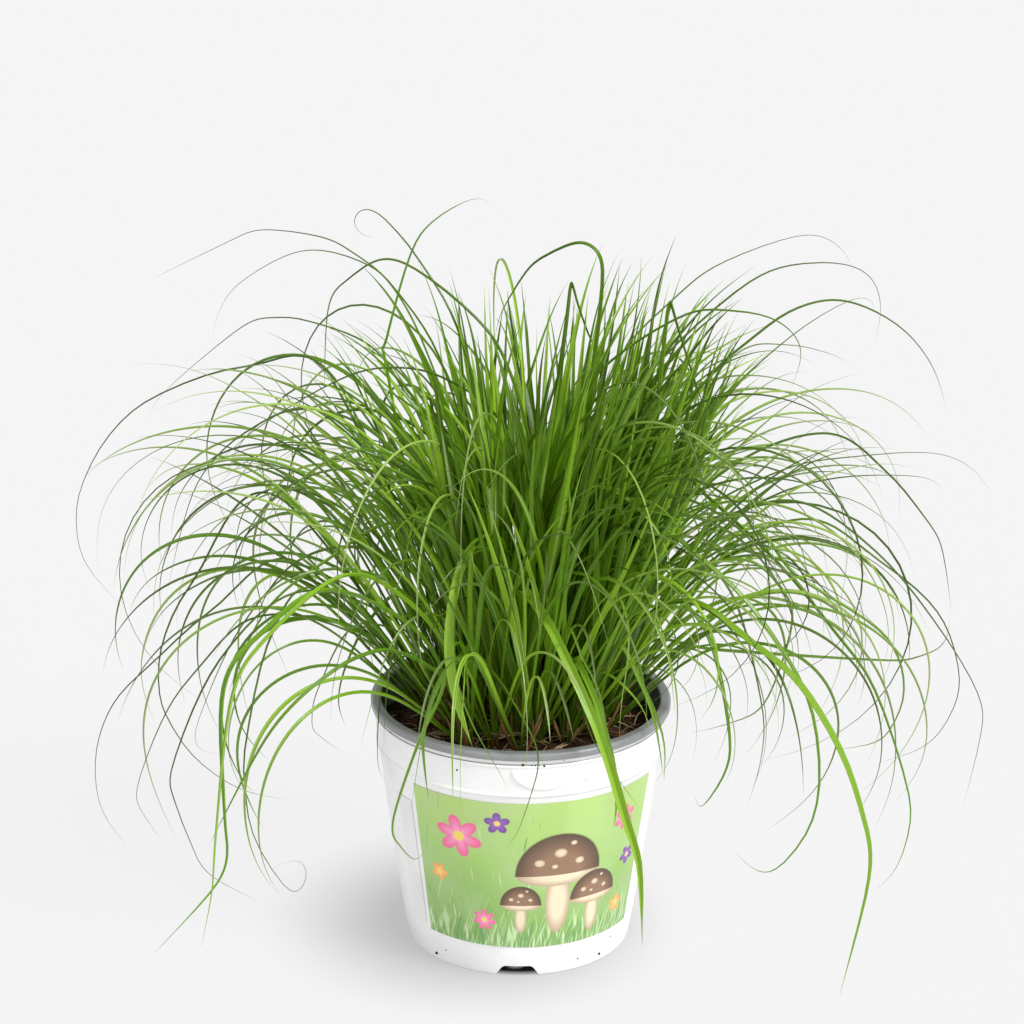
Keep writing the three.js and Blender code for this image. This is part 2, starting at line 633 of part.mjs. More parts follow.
// A blade's corners at one station: two edges of the flat upper face, and the keel below
function stationCorners(blade, section, sections) {
  const { spine, width } = blade;
  const place = section * STEPS_PER_SECTION;
  const here = spine[place];
  const before = spine[Math.max(0, place - STEPS_PER_SECTION)];
  const after = spine[place + STEPS_PER_SECTION];
  const along = section / sections;
  const tangent = new THREE.Vector3(after.x - before.x, after.y - before.y, after.z - before.z).normalize();
  const side = new THREE.Vector3(-Math.sin(here.heading), Math.cos(here.heading), 0);
  side.addScaledVector(tangent, -side.dot(tangent)).normalize();
  side.applyAxisAngle(tangent, blade.roll + blade.twist * along);
  const keel = new THREE.Vector3().crossVectors(side, tangent);
  const wide = width * widthShare(along);
  const centre = new THREE.Vector3(here.x, here.y, here.z);
  return [
    centre.clone().addScaledVector(side, wide / 2),
    centre.clone().addScaledVector(side, -wide / 2),
    centre.clone().addScaledVector(keel, Math.max(LEAST_DEPTH, DEPTH_SHARE * wide)),
  ];
}

function bladeGeometry(blade) {
  const sections = (blade.spine.length - 1) / STEPS_PER_SECTION;
  const corners = [];
  for (let section = 0; section < sections; section += 1) {
    corners.push(...stationCorners(blade, section, sections));
  }
  const tip = blade.spine[blade.spine.length - 1];
  corners.push(new THREE.Vector3(tip.x, tip.y, tip.z));
  const faces = [0, 2, 1];
  for (let section = 0; section < sections; section += 1) {
    for (let edge = 0; edge < 3; edge += 1) {
      const a = section * 3 + edge;
      const b = section * 3 + ((edge + 1) % 3);
      if (section < sections - 1) {
        faces.push(a, b + 3, a + 3, a, b, b + 3);
      } else {
        faces.push(a, b, corners.length - 1);
      }
    }
  }
  const geometry = new THREE.BufferGeometry().setFromPoints(corners);
  geometry.setIndex(faces);
  return geometry;
}

// A shoot is a short stub in its hole, with its blades grown together at the stub
function shootSolid(shoot, blades) {
  const low = shoot.ground - STUB_DEPTH;
  const stub = prism(STUB_RADIUS * STUB_TAPER, STUB_RADIUS, low, shoot.ground + STUB_RISE, STUB_SIDES);
  stub.translate(shoot.x, shoot.y, 0);
  return blades.reduce((solid, blade) => solid.add(solidOf(bladeGeometry(blade))), solidOf(stub));
}

function named(name, solid, material) {
  const mesh = new THREE.Mesh(geometryOf(solid), material);
  mesh.name = name;
  return mesh;
}

const shoots = Array.from({ length: SHOOT_COUNT }, (_, index) => shootPlace(index));
const planted = plantBlades(shoots);
const group = new THREE.Group();
group.add(named("pot", potSolid(), paint.pot));
group.add(named("soil", soilSolid(shoots), paint.soil));
for (const shoot of shoots) {
  const name = `shoot_${String(shoot.index + 1).padStart(2, "0")}`;
  group.add(named(name, shootSolid(shoot, planted[shoot.index]), paint.leaf));
}

export default group;
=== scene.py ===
# %% [markdown]
# # A clump of umbrella sedge in its nursery pot
#
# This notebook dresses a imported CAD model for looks. The real thing is a dense clump of a
# grass-like sedge, sold in a thin white plastic pot with a printed label on its front. The CAD
# model holds the sizes and the main blades as plain solids. Here each of them gets a finer
# piece of the same form, and the hundreds of thin blades between them are added.

# %% Load the fixed frame
import math

import bmesh
import bpy
import numpy as np
from mathutils import Matrix, Vector, noise


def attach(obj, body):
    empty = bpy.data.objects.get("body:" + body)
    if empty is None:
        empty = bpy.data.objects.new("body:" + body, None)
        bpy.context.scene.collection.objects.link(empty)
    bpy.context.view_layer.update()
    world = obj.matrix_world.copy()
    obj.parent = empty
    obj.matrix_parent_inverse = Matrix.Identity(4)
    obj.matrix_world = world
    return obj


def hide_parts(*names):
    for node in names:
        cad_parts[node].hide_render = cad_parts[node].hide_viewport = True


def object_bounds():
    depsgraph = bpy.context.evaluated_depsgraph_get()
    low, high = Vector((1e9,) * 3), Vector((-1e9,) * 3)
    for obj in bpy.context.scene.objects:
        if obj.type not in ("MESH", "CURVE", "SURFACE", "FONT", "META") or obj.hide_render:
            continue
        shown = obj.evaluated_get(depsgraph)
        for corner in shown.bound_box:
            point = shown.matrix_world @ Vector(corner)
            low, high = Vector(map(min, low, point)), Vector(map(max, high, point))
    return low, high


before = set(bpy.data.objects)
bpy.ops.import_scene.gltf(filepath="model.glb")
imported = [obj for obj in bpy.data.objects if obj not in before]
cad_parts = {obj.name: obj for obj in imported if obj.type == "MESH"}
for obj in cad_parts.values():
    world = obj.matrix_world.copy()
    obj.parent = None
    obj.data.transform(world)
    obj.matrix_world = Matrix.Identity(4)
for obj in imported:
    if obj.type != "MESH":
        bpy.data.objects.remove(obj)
cad_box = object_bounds()
MM = 0.001
print("CAD nodes:", len(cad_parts), "box:", [tuple(corner) for corner in cad_box])

# %% [markdown]
# ## Objects and meshes
#
# An object in Blender is a name and a place that show some data: a mesh, a lamp or a camera.
# It is seen only once a collection holds it. A mesh is worked on as a bmesh, which has the
# operators, and is written into mesh data when it is done.


# %% Helpers for objects and meshes
def in_scene(name, data):
    thing = bpy.data.objects.new(name, data)
    bpy.context.scene.collection.objects.link(thing)
    return thing


def mesh_of(name, form):
    mesh = bpy.data.meshes.new(name)
    form.to_mesh(mesh)
    form.free()
    return mesh


def face_outward(form):
    bmesh.ops.recalc_face_normals(form, faces=form.faces[:])


# %% [markdown]
# ## Node helpers
#
# A material is a small network of nodes. These helpers put one node in a tree and join its
# inputs, either to another node's output or to a plain value.

# %% Helpers for material nodes
COLOUR, NUMBER, VECTOR = "NodeSocketColor", "NodeSocketFloat", "NodeSocketVector"


def feed(tree, socket, value):
    if isinstance(value, bpy.types.NodeSocket):
        tree.links.new(value, socket)
    elif hasattr(value, "__len__") and len(value) == 3 and socket.type == "RGBA":
        socket.default_value = (*value, 1)
    else:
        socket.default_value = value


def fill(tree, node, values):
    """Feeds a node's inputs in their order, as far as the values reach."""
    for socket, value in zip(node.inputs, values):
        feed(tree, socket, value)
    return node


def supply(tree, node, **values):
    """Feeds a node's inputs by their names."""
    for name, value in values.items():
        feed(tree, node.inputs[name], value)
    return node


def reckon(tree, operation, *values, clamp=False):
    node = tree.nodes.new("ShaderNodeMath")
    node.operation, node.use_clamp = operation, clamp
    return fill(tree, node, values).outputs[0]


def times(tree, a, b, clamp=False):
    return reckon(tree, "MULTIPLY", a, b, clamp=clamp)


def length_of(tree, a, b):
    """How far off a point is that lies a along one axis and b along the other."""
    return reckon(tree, "SQRT", reckon(tree, "ADD", times(tree, a, a), times(tree, b, b)))


def split(tree, vector):
    return fill(tree, tree.nodes.new("ShaderNodeSeparateXYZ"), [vector]).outputs


def joined(tree, *values):
    return fill(tree, tree.nodes.new("ShaderNodeCombineXYZ"), values).outputs[0]


def blend_colours(tree, share, a, b, way="MIX"):
    node = tree.nodes.new("ShaderNodeMix")
    node.data_type, node.blend_type = "RGBA", way
    feed(tree, node.inputs["Factor"], share)
    feed(tree, node.inputs[6], a)
    feed(tree, node.inputs[7], b)
    return node.outputs[2]


def remap(tree, value, low, high, to_low=0.0, to_high=1.0, smooth=False):
    node = tree.nodes.new("ShaderNodeMapRange")
    node.interpolation_type = "SMOOTHSTEP" if smooth else "LINEAR"
    return fill(tree, node, (value, low, high, to_low, to_high)).outputs[0]


def ramp(tree, value, stops):
    node = tree.nodes.new("ShaderNodeValToRGB")
    elements = node.color_ramp.elements
    while len(elements) < len(stops):
        elements.new(0.5)
    for element, (place, colour) in zip(elements, stops):
        element.position, element.color = place, (*colour, 1)
    return fill(tree, node, [value]).outputs[0]


def mottle(tree, vector, scale, detail=2.0, roughness=0.5):
    node = tree.nodes.new("ShaderNodeTexNoise")
    return supply(tree, node, Vector=vector, Scale=scale, Detail=detail,
                  Roughness=roughness).outputs[0]


def stretched(tree, vector, scale):
    node = tree.nodes.new("ShaderNodeMapping")
    return supply(tree, node, Vector=vector, Scale=scale).outputs[0]


def object_place(tree):
    return tree.nodes.new("ShaderNodeTexCoord").outputs["Object"]


def uv_place(tree):
    return tree.nodes.new("ShaderNodeUVMap").outputs[0]


def attribute(tree, name):
    node = tree.nodes.new("ShaderNodeAttribute")
    node.attribute_name = name
    return node.outputs["Fac"]


def new_finish(name, roughness, specular):
    finish = bpy.data.materials.new(name)
    finish.use_nodes = True
    shader = finish.node_tree.nodes["Principled BSDF"]
    shader.inputs["Roughness"].default_value = roughness
    shader.inputs["Specular IOR Level"].default_value = specular
    return finish, finish.node_tree, shader


def bump(tree, shader, height, strength, distance):
    node = tree.nodes.new("ShaderNodeBump")
    supply(tree, node, Strength=strength, Distance=distance, Height=height)
    supply(tree, shader, Normal=node.outputs[0])


def new_group(name, inputs, outputs):
    """A node group with these sockets, and the nodes inside it that stand for them."""
    group = bpy.data.node_groups.new(name, "ShaderNodeTree")
    for label, kind, value in inputs:
        socket = group.interface.new_socket(label, in_out="INPUT", socket_type=kind)
        socket.default_value = value
    for label, kind in outputs:
        group.interface.new_socket(label, in_out="OUTPUT", socket_type=kind)
    return group, group.nodes.new("NodeGroupInput"), group.nodes.new("NodeGroupOutput")


def use_group(tree, group, **values):
    node = tree.nodes.new("ShaderNodeGroup")
    node.node_tree = group
    return supply(tree, node, **values)


print("node helpers are ready")

# %% [markdown]
# ## Camera
#
# The camera looks down by 19 degrees. A camera in Blender looks along its own -Z axis, with +Y
# up. So its three axes are worked out from the place it looks at, and written as the columns
# of a matrix. The slight roll is the tilt of the photograph.

# %% Camera
CAMERA_PLACE = Vector((0, -1015.3, 528.2))
LOOK_AT = Vector((-4.3, 0, 178.5))
CAMERA_ROLL = math.radians(0.61)
LENS, SENSOR_WIDTH = 96.58, 36
NEAREST, FARTHEST = 0.01, 30

forward = (LOOK_AT - CAMERA_PLACE).normalized()
level = forward.cross(Vector((0, 0, 1))).normalized()
upward = level.cross(forward)
right = level * math.cos(CAMERA_ROLL) + upward * math.sin(CAMERA_ROLL)
axes = Matrix((right, right.cross(forward), -forward)).transposed()
camera = in_scene("camera", bpy.data.cameras.new("camera"))
camera.matrix_world = Matrix.Translation(CAMERA_PLACE * MM) @ axes.to_4x4()
camera.data.lens, camera.data.sensor_width = LENS, SENSOR_WIDTH
camera.data.clip_start, camera.data.clip_end = NEAREST, FARTHEST
bpy.context.scene.camera = camera
print("camera at", tuple(round(value, 4) for value in camera.location))

# %% [markdown]
# ## Floor and light
#
# The photograph was taken in a white studio: the pot stands on a pale floor that runs on
# without an edge. A large plane that fills the view is enough for that. It glows, so that it
# is as pale as the white world behind it. Its glow fades out just inside the pot's foot, and
# this is a painted shadow: the floor is dark under the pot and in the notches of its foot. A
# soft sun shines from the right, and a wide one fills in from the front.
#
# In such a picture the leaves leave no shadow on the floor, and only the pot has one, soft and
# close to its foot. Light linking does this: one more sun shines on nothing but the floor, and
# only what is in its blocker collection stands in its way.

# %% Floor and light
FLOOR_HALF = 6.0
FLOOR_GREY, FLOOR_GLOW = (0.04, 0.04, 0.04), 0.485
PAINTED_SHADOW_RADIUS, GLOWING_RADIUS = 0.0418, 0.0456
WORLD_STRENGTH = 0.72

floor_form = bmesh.new()
bmesh.ops.create_grid(floor_form, x_segments=2, y_segments=2, size=FLOOR_HALF)
floor = in_scene("floor", mesh_of("floor", floor_form))

paper, tree, shader = new_finish("pale_paper", 0.9, 0)
away = tree.nodes.new("ShaderNodeVectorMath")
away.operation = "LENGTH"
feed(tree, away.inputs[0], object_place(tree))
feed(tree, shader.inputs["Base Color"], FLOOR_GREY)
feed(tree, shader.inputs["Emission Strength"], FLOOR_GLOW)
# Painted shadow: the glow fades out between these two radii, just inside the pot's foot, so the
# floor is dark under the pot and in its notches.
feed(tree, shader.inputs["Emission Color"],
     remap(tree, away.outputs["Value"], PAINTED_SHADOW_RADIUS, GLOWING_RADIUS))
floor.data.materials.append(paper)

world = bpy.data.worlds.new("studio")
world.use_nodes = True
background = world.node_tree.nodes["Background"]
background.inputs["Color"].default_value = (1, 1, 1, 1)
background.inputs["Strength"].default_value = WORLD_STRENGTH
bpy.context.scene.world = world


def soft_sun(name, energy, spread, way):
    """A sun whose light goes this way; the wider its spread, the softer its shadows."""
    lamp = in_scene(name, bpy.data.lights.new(name, "SUN"))
    lamp.data.energy, lamp.data.angle = energy, math.radians(spread)
    lamp.rotation_mode = "QUATERNION"
    lamp.rotation_quaternion = Vector(way).to_track_quat("-Z", "Y")
    return lamp


soft_sun("key_sun", 3.7, 16, (-0.75, 0.45, -0.85))
soft_sun("front_fill", 1.05, 60, (0.25, 1.0, -0.45))
floor_sun = soft_sun("floor_sun", 29.0, 33, (-0.19, 0.04, -1))
floor_only = bpy.data.collections.new("floor_only")
floor_only.objects.link(floor)
floor_shadows = bpy.data.collections.new("floor_shadows")
floor_sun.light_linking.receiver_collection = floor_only
floor_sun.light_linking.blocker_collection = floor_shadows
bpy.context.scene.view_settings.view_transform = "Standard"

# %% [markdown]
# ## Where the blades grow
#
# The CAD model planted its blades by a rule: shoots stand in a sunflower pattern, and numbers
# are drawn from a seed to choose each blade's bend, length and width. The same rule runs here
# with the same seeds, so every fine blade lies on the line of its CAD solid. Only the long
# blades that make the outline are listed point by point, as they are in the CAD model. All
# lengths are in millimetres until a mesh is made.

# %% Sizes that the CAD model shares
POT_HEIGHT, LIP_RADIUS, LIP_DROP, LIP_WIDTH = 101.8, 60, 3, 4.4
COLLAR_RADIUS, WALL_TOP_RADIUS, WALL_FOOT_RADIUS = 58.4, 57.2, 45.6
UPPER_RIDGE_HEIGHT, LOWER_RIDGE_HEIGHT = 95.9, 83.5
RIDGE_SWELL, RIDGE_HALF_HEIGHT, WALL_THICKNESS = 0.5, 0.9, 1.3
FOOT_RING_WIDTH, FLOOR_RISE, FLOOR_THICKNESS = 1.8, 5, 1.4
NOTCH_COUNT, NOTCH_HEIGHT, NOTCH_DEPTH = 4, 4.4, 8
NOTCH_WIDTH_AT_FLOOR, NOTCH_WIDTH_AT_TOP = 18.5, 11.5
DRAIN_COUNT, DRAIN_RADIUS, DRAIN_CIRCLE = 8, 3.5, 36
SOIL_GAP, SOIL_EDGE_HEIGHT, SOIL_MOUND, SOIL_ROUGHNESS = 0.3, 88.5, 5.5, 0.7
SHOOT_COUNT, CLUMP_RADIUS, GOLDEN_ANGLE = 44, 40, 137.508
STUB_RADIUS, STUB_RISE = 3.2, 8
ROOT_RISE, ROOT_SPREAD, ROOT_REACH, ROOT_LENGTH = 3, 5, 2.1, 14
CENTRE_SLANT, RIM_SLANT, SLANT_SPREAD = 7.5, 22, 9
STEPS_PER_SECTION, MOST_SECTIONS, ROUTE_STEPS = 5, 10, 8
CLEARANCE, OWN_CLEARANCE, SAMPLE_STEP, CELL = 0.6, 0.3, 2.5, 4.6
BLADES_PER_SHOOT, BLADE_TRIES = 8, 200
SEED_STEP, TRY_STEP, ARCH_SEED, DRAWN_SEED = 7919, 104729, 11, 50021
CENTRE_WANDER, RIM_WANDER, TURN_SPREAD = 150, 34, 50
DRAWN_WIDTH, WIDTH_BIAS, DRAWN_ROLL, DRAWN_TWIST = (1.7, 3.1), 1.4, 70, 80
ARCH_ROLL, ARCH_TWIST, HEADING_STEP, STRETCH_STEP = 40, 50, 0.4, 0.002
OVER_SOIL, OVER_LIP, INSIDE_LIP, OUTSIDE_LIP = 2.5, 1.5, 2, 0.7
OUTLINE_REACH_X, OUTLINE_REACH_Y, OUTLINE_LOW = 168, 136, 28
OUTLINE_TOP, OUTLINE_FALL = 278, 60
POT_FRONT_HALF = 47

# Upright, arching and low blades: share of all, lean added toward the rim, lean at the tip,
# length, how far along the bend ends, and sections. Angles are in degrees from upright.
KINDS = [
    (0.34, 0, (60, 150), (150, 215), (1.2, 1.6), 4),
    (0.8, 0, (140, 225), (200, 310), (1.1, 1.4), 6),
    (1, 15, (140, 215), (140, 230), (1, 1.3), 5),
]
BEND_START = (0.1, 0.35)

# The long blades of the outline: shoot, heading, width, and points of reach, height and drift
ARCHES = [
    (9, 172, 1.3, (8, 193), (22, 241), (36, 267), (50, 278), (62, 284), (87, 286), (99, 281),
     (133, 263)),
    (4, 205, 1.4, (9, 193), (22, 243), (40, 272), (53, 284), (77, 291), (102, 281), (110, 271),
     (113, 261)),
    (3, 165, 2.1, (-2, 148), (2, 195), (12, 232), (26, 253), (59, 274), (79, 264), (87, 252),
     (89, 212)),
    (30, 20, 1.7, (-24, 235), (-25, 245), (-14, 282), (-4, 294), (12, 301), (18, 298)),
    (3, 150, 2.1, (9, 154), (23, 206), (38, 248), (54, 276), (63, 285), (73, 291), (78, 286),
     (68, 279)),
    (17, 170, 1.7, (46, 230), (83, 237), (120, 223), (139, 206), (151, 184), (154, 168),
     (151, 150), (135, 130)),
    (30, 168, 1.3, (1, 188), (17, 224), (31, 242), (57, 250), (69, 250), (82, 246), (116, 216),
     (123, 204)),
    (7, 190, 1.9, (-6, 144), (-7, 188), (3, 221), (24, 238), (42, 243), (62, 240), (94, 222),
     (116, 203)),
    (25, 186, 1.7, (4, 140), (16, 178), (32, 207), (55, 225), (80, 215), (96, 199), (104, 179),
     (111, 150)),
    (33, 196, 2.6, (-1, 147), (22, 183), (53, 169), (72, 155), (83, 137), (90, 117)),
    (30, 184, 1.5, (64, 184), (97, 148), (110, 122), (112, 100), (108, 87), (98, 71), (80, 57),
     (59, 52)),
    (38, 176, 1.2, (50, 157), (85, 135), (109, 112), (125, 95), (133, 77), (135, 59), (132, 43),
     (121, 27)),
    (33, 198, 1.2, (21, 127), (52, 147), (79, 150), (99, 132), (112, 115), (124, 85), (121, 73),
     (114, 61)),
    (33, 204, 1.3, (19, 140), (61, 162), (94, 139), (114, 98), (113, 83), (108, 67), (101, 51),
     (79, 34)),
    (41, 217, 3, (20, 143), (62, 172), (91, 162), (109, 144), (110, 94), (109, 76), (115, 65),
     (142, 45)),
    (41, 226, 2.4, (12, 137), (38, 167), (66, 181), (103, 166), (119, 148), (128, 96), (130, 76),
     (136, 54)),
    (28, 222, 2.4, (18, 123), (45, 144), (63, 147), (80, 143), (98, 134), (112, 121), (134, 91)),
    (20, 212, 1.3, (64, 166), (86, 154), (98, 113), (99, 92), (95, 70), (80, 44), (73, 49),
     (76, 58), (89, 57)),
    (38, 183, 1.2, (14, 135), (50, 155), (74, 133), (92, 93), (93, 80), (84, 77)),
    (38, 196, 2.2, (11, 144), (25, 137), (35, 118), (38, 103), (35, 92)),
    (33, 210, 1.2, (11, 130), (41, 147), (58, 124), (61, 110), (59, 105), (47, 94)),
    (33, 270, 1.4, (3, 125, -10), (6, 127, -19), (10, 116, -27), (16, 87, -28), (19, 78, -24)),
    (41, 235, 1.6, (18, 139), (26, 133), (33, 121), (40, 104), (37, 76)),
    (28, 238, 1.4, (23, 144), (36, 126), (50, 113), (68, 86), (62, 73), (52, 64), (43, 67)),
    (5, -22, 3.4, (12, 193), (25, 195), (65, 169), (84, 153), (105, 124), (112, 96), (111, 72),
     (102, 53), (91, 43), (78, 52)),
    (39, -35, 3.2, (10, 135), (40, 160), (71, 149), (90, 139), (108, 118), (119, 95), (124, 70),
     (114, 15)),
    (21, -8, 3, (18, 204), (46, 187), (76, 160), (97, 135), (114, 112), (130, 68), (131, 49),
     (126, 31), (118, 22)),
    (34, -4, 2.8, (49, 174), (72, 159), (103, 140), (113, 127), (116, 113), (114, 102), (107, 90),
     (88, 85)),
    (42, -6, 2.6, (14, 122), (41, 120), (106, 119), (120, 121), (130, 127), (132, 138)),
    (29, 5, 2.4, (16, 151), (53, 192), (92, 206), (117, 189), (133, 170), (141, 157), (147, 127)),
    (34, 1, 1.5, (23, 149), (73, 178), (105, 161), (130, 139), (140, 113), (138, 96), (128, 81),
     (107, 73)),
    (42, -20, 1.5, (12, 142), (42, 176), (73, 190), (105, 174), (131, 147), (149, 120),
     (150, 103), (145, 73)),
    (34, -25, 2.4, (16, 146), (33, 147), (45, 131), (53, 97), (52, 80), (42, 62), (39, 68)),
    (34, -12, 1.9, (5, 137), (31, 163), (50, 150), (63, 106), (64, 83), (59, 60)),
    (39, -14, 1.5, (8, 134), (31, 163), (56, 173), (71, 162), (76, 147), (67, 113), (54, 103),
     (37, 97)),
    (8, 14, 1.4, (3, 173), (10, 210), (23, 241), (43, 261), (61, 274), (95, 284), (111, 278),
     (117, 267)),
    (13, 8, 1.8, (5, 177), (17, 217), (32, 241), (67, 272), (92, 278), (111, 274), (118, 261),
     (116, 244)),
    (13, -4, 1.5, (8, 177), (25, 215), (45, 241), (75, 262), (111, 268), (129, 257), (138, 240),
     (139, 221)),
    (21, -14, 1.2, (10, 131), (25, 161), (42, 182), (76, 203), (102, 210), (130, 214), (145, 210),
     (155, 199)),
    (5, 2, 1.7, (18, 186), (37, 207), (55, 229), (84, 260), (102, 275), (116, 282), (121, 278),
     (120, 274)),
    (0, -20, 2.2, (5, 168), (12, 210), (26, 239), (58, 264), (77, 268), (95, 266), (105, 256),
     (101, 239)),
    (8, -6, 2.8, (10, 153), (50, 219), (72, 241), (88, 252), (106, 255), (127, 246), (141, 231),
     (148, 213)),
    (13, 4, 1.9, (5, 161), (23, 201), (44, 226), (62, 231), (74, 231), (94, 226), (110, 206),
     (115, 184)),
    (21, 12, 1.7, (7, 162), (34, 216), (69, 248), (94, 248), (115, 241), (129, 233)),
    (21, 0, 1.7, (18, 133), (42, 163), (65, 183), (93, 193), (127, 194), (137, 188)),
    (16, 158, 2.6, (-8, 213), (-12, 254), (-13, 275), (-10, 282), (-2, 284), (13, 276), (23, 264),
     (28, 249)),
    (15, 270, 3.4, (0, 138, -1), (14, 178, -4), (22, 183, -14), (36, 174, -21), (49, 144, -22),
     (54, 123, -16), (56, 101, -4), (55, 94, -1)),
    (23, 270, 1.4, (9, 133, -22), (17, 131, -18), (27, 127, -12), (38, 111, -1), (40, 101, 1),
     (40, 91, -1), (39, 80, -4)),
    (23, 270, 3.7, (-2, 134, -2), (13, 162, -7), (23, 158, 0), (35, 150, 7), (53, 120, 23),
     (62, 87, 34), (63, 70, 39), (61, 36, 41)),
    (31, 270, 1.9, (16, 147, 0), (28, 140, 6), (38, 127, 13), (44, 91, 19), (43, 74, 18)),
    (31, 270, 1.3, (14, 142, -4), (28, 125, 8), (40, 110, 16), (50, 88, 35)),
    (39, 270, 1.5, (15, 138, 8), (25, 128, 17), (30, 113, 23), (31, 90, 27)),
    (11, 10, 2.8, (2, 189), (6, 218), (10, 250), (12, 268), (15, 258), (20, 244), (26, 231)),
    (5, -8, 2.6, (35, 209), (39, 237), (41, 262), (42.5, 270), (45, 261), (52, 240), (59, 220)),
    (28, 270, 3.8, (2, 154, -3), (6, 178, -4), (12, 181, -8), (18, 174, -12), (25, 158, -15),
     (31, 141, -15), (35, 123, -11), (38, 107, -5)),
    (18, 270, 3.2, (6, 118, 1), (18, 133, 3), (32, 129, 8), (40, 122, 12), (46, 113, 15),
     (49, 103, 18), (51, 91, 20), (52, 76, 19)),
    (20, 270, 2.4, (3, 130, 1), (11, 138, -2), (21, 135, -9), (27, 132, -15), (32, 125, -20),
     (36, 117, -23), (39, 106, -25), (41, 83, -23)),
    (10, 300, 2.6, (8, 163, 1), (16, 193, 4), (24, 201, 7), (34, 201, 12), (44, 195, 17),
     (51, 187, 21), (55, 175, 23), (58, 160, 22)),
]
print("hand-placed blades:", len(ARCHES))


# %% Seeded numbers and the ground
SEED_RANGE, SEED_FACTOR, SEED_ADDEND = 2 ** 32, 1664525, 1013904223


def draws(seed):
    """A function that hands out numbers from 0 to 1, the same ones for the same seed."""
    state = seed % SEED_RANGE

    def following():
        nonlocal state
        state = (state * SEED_FACTOR + SEED_ADDEND) % SEED_RANGE
        return state / SEED_RANGE

    for _ in range(3):
        following()
    return following


def mix(a, b, share):
    return a + (b - a) * share


def smoothsteps(t):
    held = np.minimum(1, np.maximum(0, t))
    return held * held * (3 - 2 * held)


def ground_height(x, y):
    share = math.hypot(x, y) / (LIP_RADIUS - LIP_WIDTH)
    return SOIL_EDGE_HEIGHT + SOIL_MOUND * (1 - share * share)


def ground_bumps(x, y):
    waves = math.sin(x * 0.31 + 1) * math.cos(y * 0.27) + math.sin(x * 0.13 - y * 0.21)
    return SOIL_ROUGHNESS * waves


def shoot_place(index):
    radius = CLUMP_RADIUS * math.sqrt((index + 0.5) / SHOOT_COUNT)
    azimuth = math.radians(GOLDEN_ANGLE * index)
    x, y = radius * math.cos(azimuth), radius * math.sin(azimuth)
    return {"index": index, "radius": radius, "azimuth": azimuth, "x": x, "y": y,
            "ground": ground_height(x, y)}


shoots = [shoot_place(index) for index in range(SHOOT_COUNT)]
print("first draw of seed", ARCH_SEED, "is", round(draws(ARCH_SEED)(), 4))


# %% [markdown]
# A spine is the line that a blade follows. One kind leans over more and more along its
# length. The other runs through a few given points, on a Catmull-Rom curve, which is a
# smooth curve that passes through every one of its points.

# %% Spines
TAIL_BEND = 2.2
WIDENING = 0.25


def leaning_spine(start, shape, steps, tail=0.0):
    """The line of a blade that leans over; tail is how far it runs on past its end."""
    heading, turn, lean_from, lean_to, bend_from, bend_to, length = shape
    along = (np.arange(steps) + 0.5) / steps * (1 + tail)
    bend = smoothsteps((along - bend_from) / (bend_to - bend_from))
    lean = mix(lean_from, lean_to, bend) + TAIL_BEND * np.maximum(0, along - 1 + tail)
    way = heading + turn * along * along
    out = np.sin(lean)
    moves = np.column_stack((out * np.cos(way), out * np.sin(way), np.cos(lean)))
    step = length * (1 + tail) / steps
    places = start + np.vstack((np.zeros(3), np.cumsum(moves * step, axis=0)))
    headings = heading + turn * (np.arange(steps + 1) / steps * (1 + tail)) ** 2
    return np.column_stack((places, headings))


def leaning(start, shape):
    """Such a line as a function. There is no route in it, so route_steps changes nothing."""
    return lambda steps, route_steps=None, tail=0.0: leaning_spine(start, shape, steps, tail)


def between(a, b, c, d, t):
    square, cube = t * t, t * t * t
    return 0.5 * (2 * b + (c - a) * t + (2 * a - 5 * b + 4 * c - d) * square
                  + (3 * b - a - 3 * c + d) * cube)


def route_spine(start, heading, route, steps, route_steps):
    """The line of a blade that runs through its route's points, cut into even steps."""
    knots = [(0, start[2], 0), *route]
    last = len(knots) - 1
    fine = []
    for span in range(last):
        near = [knots[k] for k in (max(0, span - 1), span, span + 1, min(last, span + 2))]
        for index in range(route_steps):
            share = index / route_steps
            fine.append([between(*(knot[axis] for knot in near), share) for axis in range(3)])
    fine.append(list(knots[last]))
    lengths = [0.0]
    for a, b in zip(fine, fine[1:]):
        lengths.append(lengths[-1] + math.hypot(b[0] - a[0], b[1] - a[1], b[2] - a[2]))
    spine, place = [], 1
    for index in range(steps + 1):
        wanted = lengths[-1] * index / steps
        while place < len(fine) - 1 and lengths[place] < wanted:
            place += 1
        share = (wanted - lengths[place - 1]) / (lengths[place] - lengths[place - 1])
        reach, height, drift = (mix(p, q, share) for p, q in zip(fine[place - 1], fine[place]))
        spine.append((start[0] + reach * math.cos(heading) - drift * math.sin(heading),
                      start[1] + reach * math.sin(heading) + drift * math.cos(heading),
                      height, heading))
    return np.array(spine)


def routed(start, heading, route):
    """Such a line as a function. Its end is given by the route, so tail changes nothing."""
    return lambda steps, route_steps=ROUTE_STEPS, tail=0.0: route_spine(
        start, heading, route, steps, route_steps)


def width_shares(along, at_root=0.6, loss=0.85, full=0.45, taper=0.6):
    """Narrow at the root, then full up to a share of the length, then tapering off."""
    tapered = smoothsteps((along - full) / taper)
    return mix(at_root, 1, smoothsteps(along / WIDENING)) * (1 - loss * tapered)


def mean_slant(shoot):
    return CENTRE_SLANT + RIM_SLANT * (shoot["radius"] / CLUMP_RADIUS)


def root_of(shoot, heading, slope):
    usual = math.tan(math.radians(mean_slant(shoot)))
    azimuth = shoot["azimuth"]
    east = ROOT_SPREAD * (slope * math.cos(heading) - usual * math.cos(azimuth))
    north = ROOT_SPREAD * (slope * math.sin(heading) - usual * math.sin(azimuth))
    held = min(1, ROOT_REACH / math.hypot(east, north))
    return (shoot["x"] + east * held, shoot["y"] + north * held, shoot["ground"] + ROOT_RISE)
